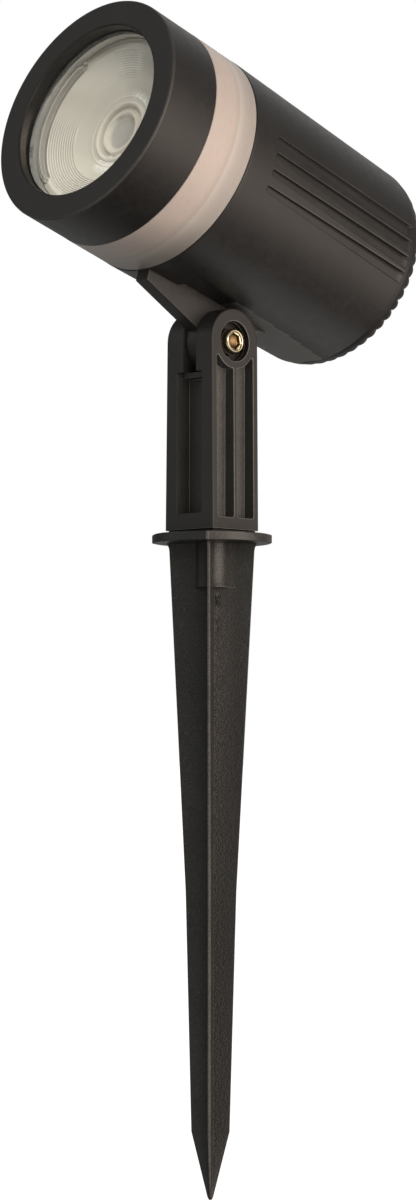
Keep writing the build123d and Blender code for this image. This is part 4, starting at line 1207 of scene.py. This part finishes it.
def wmath(op, a_, b_=0.0):
    nd = wn("ShaderNodeMath", operation=op)
    for i, x in enumerate((a_, b_)):
        if isinstance(x, (int, float)):
            nd.inputs[i].default_value = x
        else:
            t.links.new(x, nd.inputs[i])
    return nd.outputs[0]


geo = wn("ShaderNodeTexCoord")
LOBES = [  # azimuth from -Y towards +X, elevation, strength, warm
    (60, -35, 0.18, 0), (95, -35, 0.30, 1), (165, -35, 0.06, 0), (230, -35, 0.37, 0), (0, -35, 0.50, 0),
    (80, 0, 1.45, 1), (105, 0, 1.85, 1), (127, -20, 0.95, 2), (200, 0, 0.20, 0), (310, 0, 0.18, 0),
    (50, 35, 0.32, 0), (170, 35, 0.20, 0), (220, 35, 0.54, 0), (330, 35, 0.66, 0)]
sums = [None, None]
for az_, el_, amount, warm in LOBES:
    az_, el_ = math.radians(az_), math.radians(el_)
    dot = wn("ShaderNodeVectorMath", operation="DOT_PRODUCT")
    t.links.new(geo.outputs["Generated"], dot.inputs[0])
    dot.inputs[1].default_value = (math.sin(az_) * math.cos(el_), -math.cos(az_) * math.cos(el_), math.sin(el_))
    x = wmath("MAXIMUM", dot.outputs["Value"], 0.0)
    x = wmath("MULTIPLY", wmath("POWER", x, 20.0 if warm == 2 else 8.0), amount)
    warm = 1 if warm == 1 or el_ == math.radians(-20) else 0
    sums[warm] = x if sums[warm] is None else wmath("ADD", sums[warm], x)
wo = wn("ShaderNodeOutputWorld")
mixw = wn("ShaderNodeMixShader")
bgc, bgl, bgw, addw = wn("ShaderNodeBackground"), wn("ShaderNodeBackground"), wn("ShaderNodeBackground"), wn("ShaderNodeAddShader")
bgc.inputs[0].default_value = (1, 1, 1, 1)
bgc.inputs[1].default_value = 1.0
bgl.inputs[0].default_value = (1.0, 0.99, 0.97, 1)
bgw.inputs[0].default_value = (1.16, 1.0, 0.89, 1)
t.links.new(wmath("ADD", sums[0], 0.03), bgl.inputs[1])
t.links.new(sums[1], bgw.inputs[1])
t.links.new(bgl.outputs[0], addw.inputs[0])
t.links.new(bgw.outputs[0], addw.inputs[1])
lpw = wn("ShaderNodeLightPath")
t.links.new(lpw.outputs["Is Camera Ray"], mixw.inputs[0])
t.links.new(addw.outputs[0], mixw.inputs[1])
t.links.new(bgc.outputs[0], mixw.inputs[2])
t.links.new(mixw.outputs[0], wo.inputs[0])


def lamp_at(name, pos, target, size, power, colour=(1, 1, 1), size_y=None, only=None):
    d = bpy.data.lights.new(name, "AREA")
    d.shape = "RECTANGLE"
    d.size, d.size_y = size, size_y or size
    d.energy = power
    d.color = colour
    o = bpy.data.objects.new(name, d)
    o.location = pos
    o.rotation_euler = (Vector(target) - Vector(pos)).to_track_quat("-Z", "Y").to_euler()
    scene.collection.objects.link(o)
    if only:
        col = bpy.data.collections.new(name + "_on")
        for x_ in only:
            col.objects.link(x_)
        o.light_linking.receiver_collection = col
    return o


lamp_at("lens_fill", (0.38, -0.52, 0.66), (0, -0.045, 0.115), 0.30, 4.6, (1, 0.97, 0.92), only=[NODES["lens_holder"], optic, lens_rim])

lamp_at("under_fill", (0, 0.10, -0.105), (0, 0.035, 0.070), 0.12, 0.036, (1, 0.98, 0.95), only=[shell]).visible_camera = False
lamp_at("screw_fill", (0.62, -0.45, 0.24), (0.01, 0, 0.0602), 0.22, 1.5, (1, 0.99, 0.95), only=[screw])

scene.view_settings.view_transform = "Standard"
scene.view_settings.look = "None"
scene.cycles.use_denoising = True
scene.cycles.max_bounces = 12
scene.cycles.transmission_bounces = 12
scene.cycles.transparent_max_bounces = 12
scene.cycles.caustics_reflective = False
scene.cycles.caustics_refractive = False
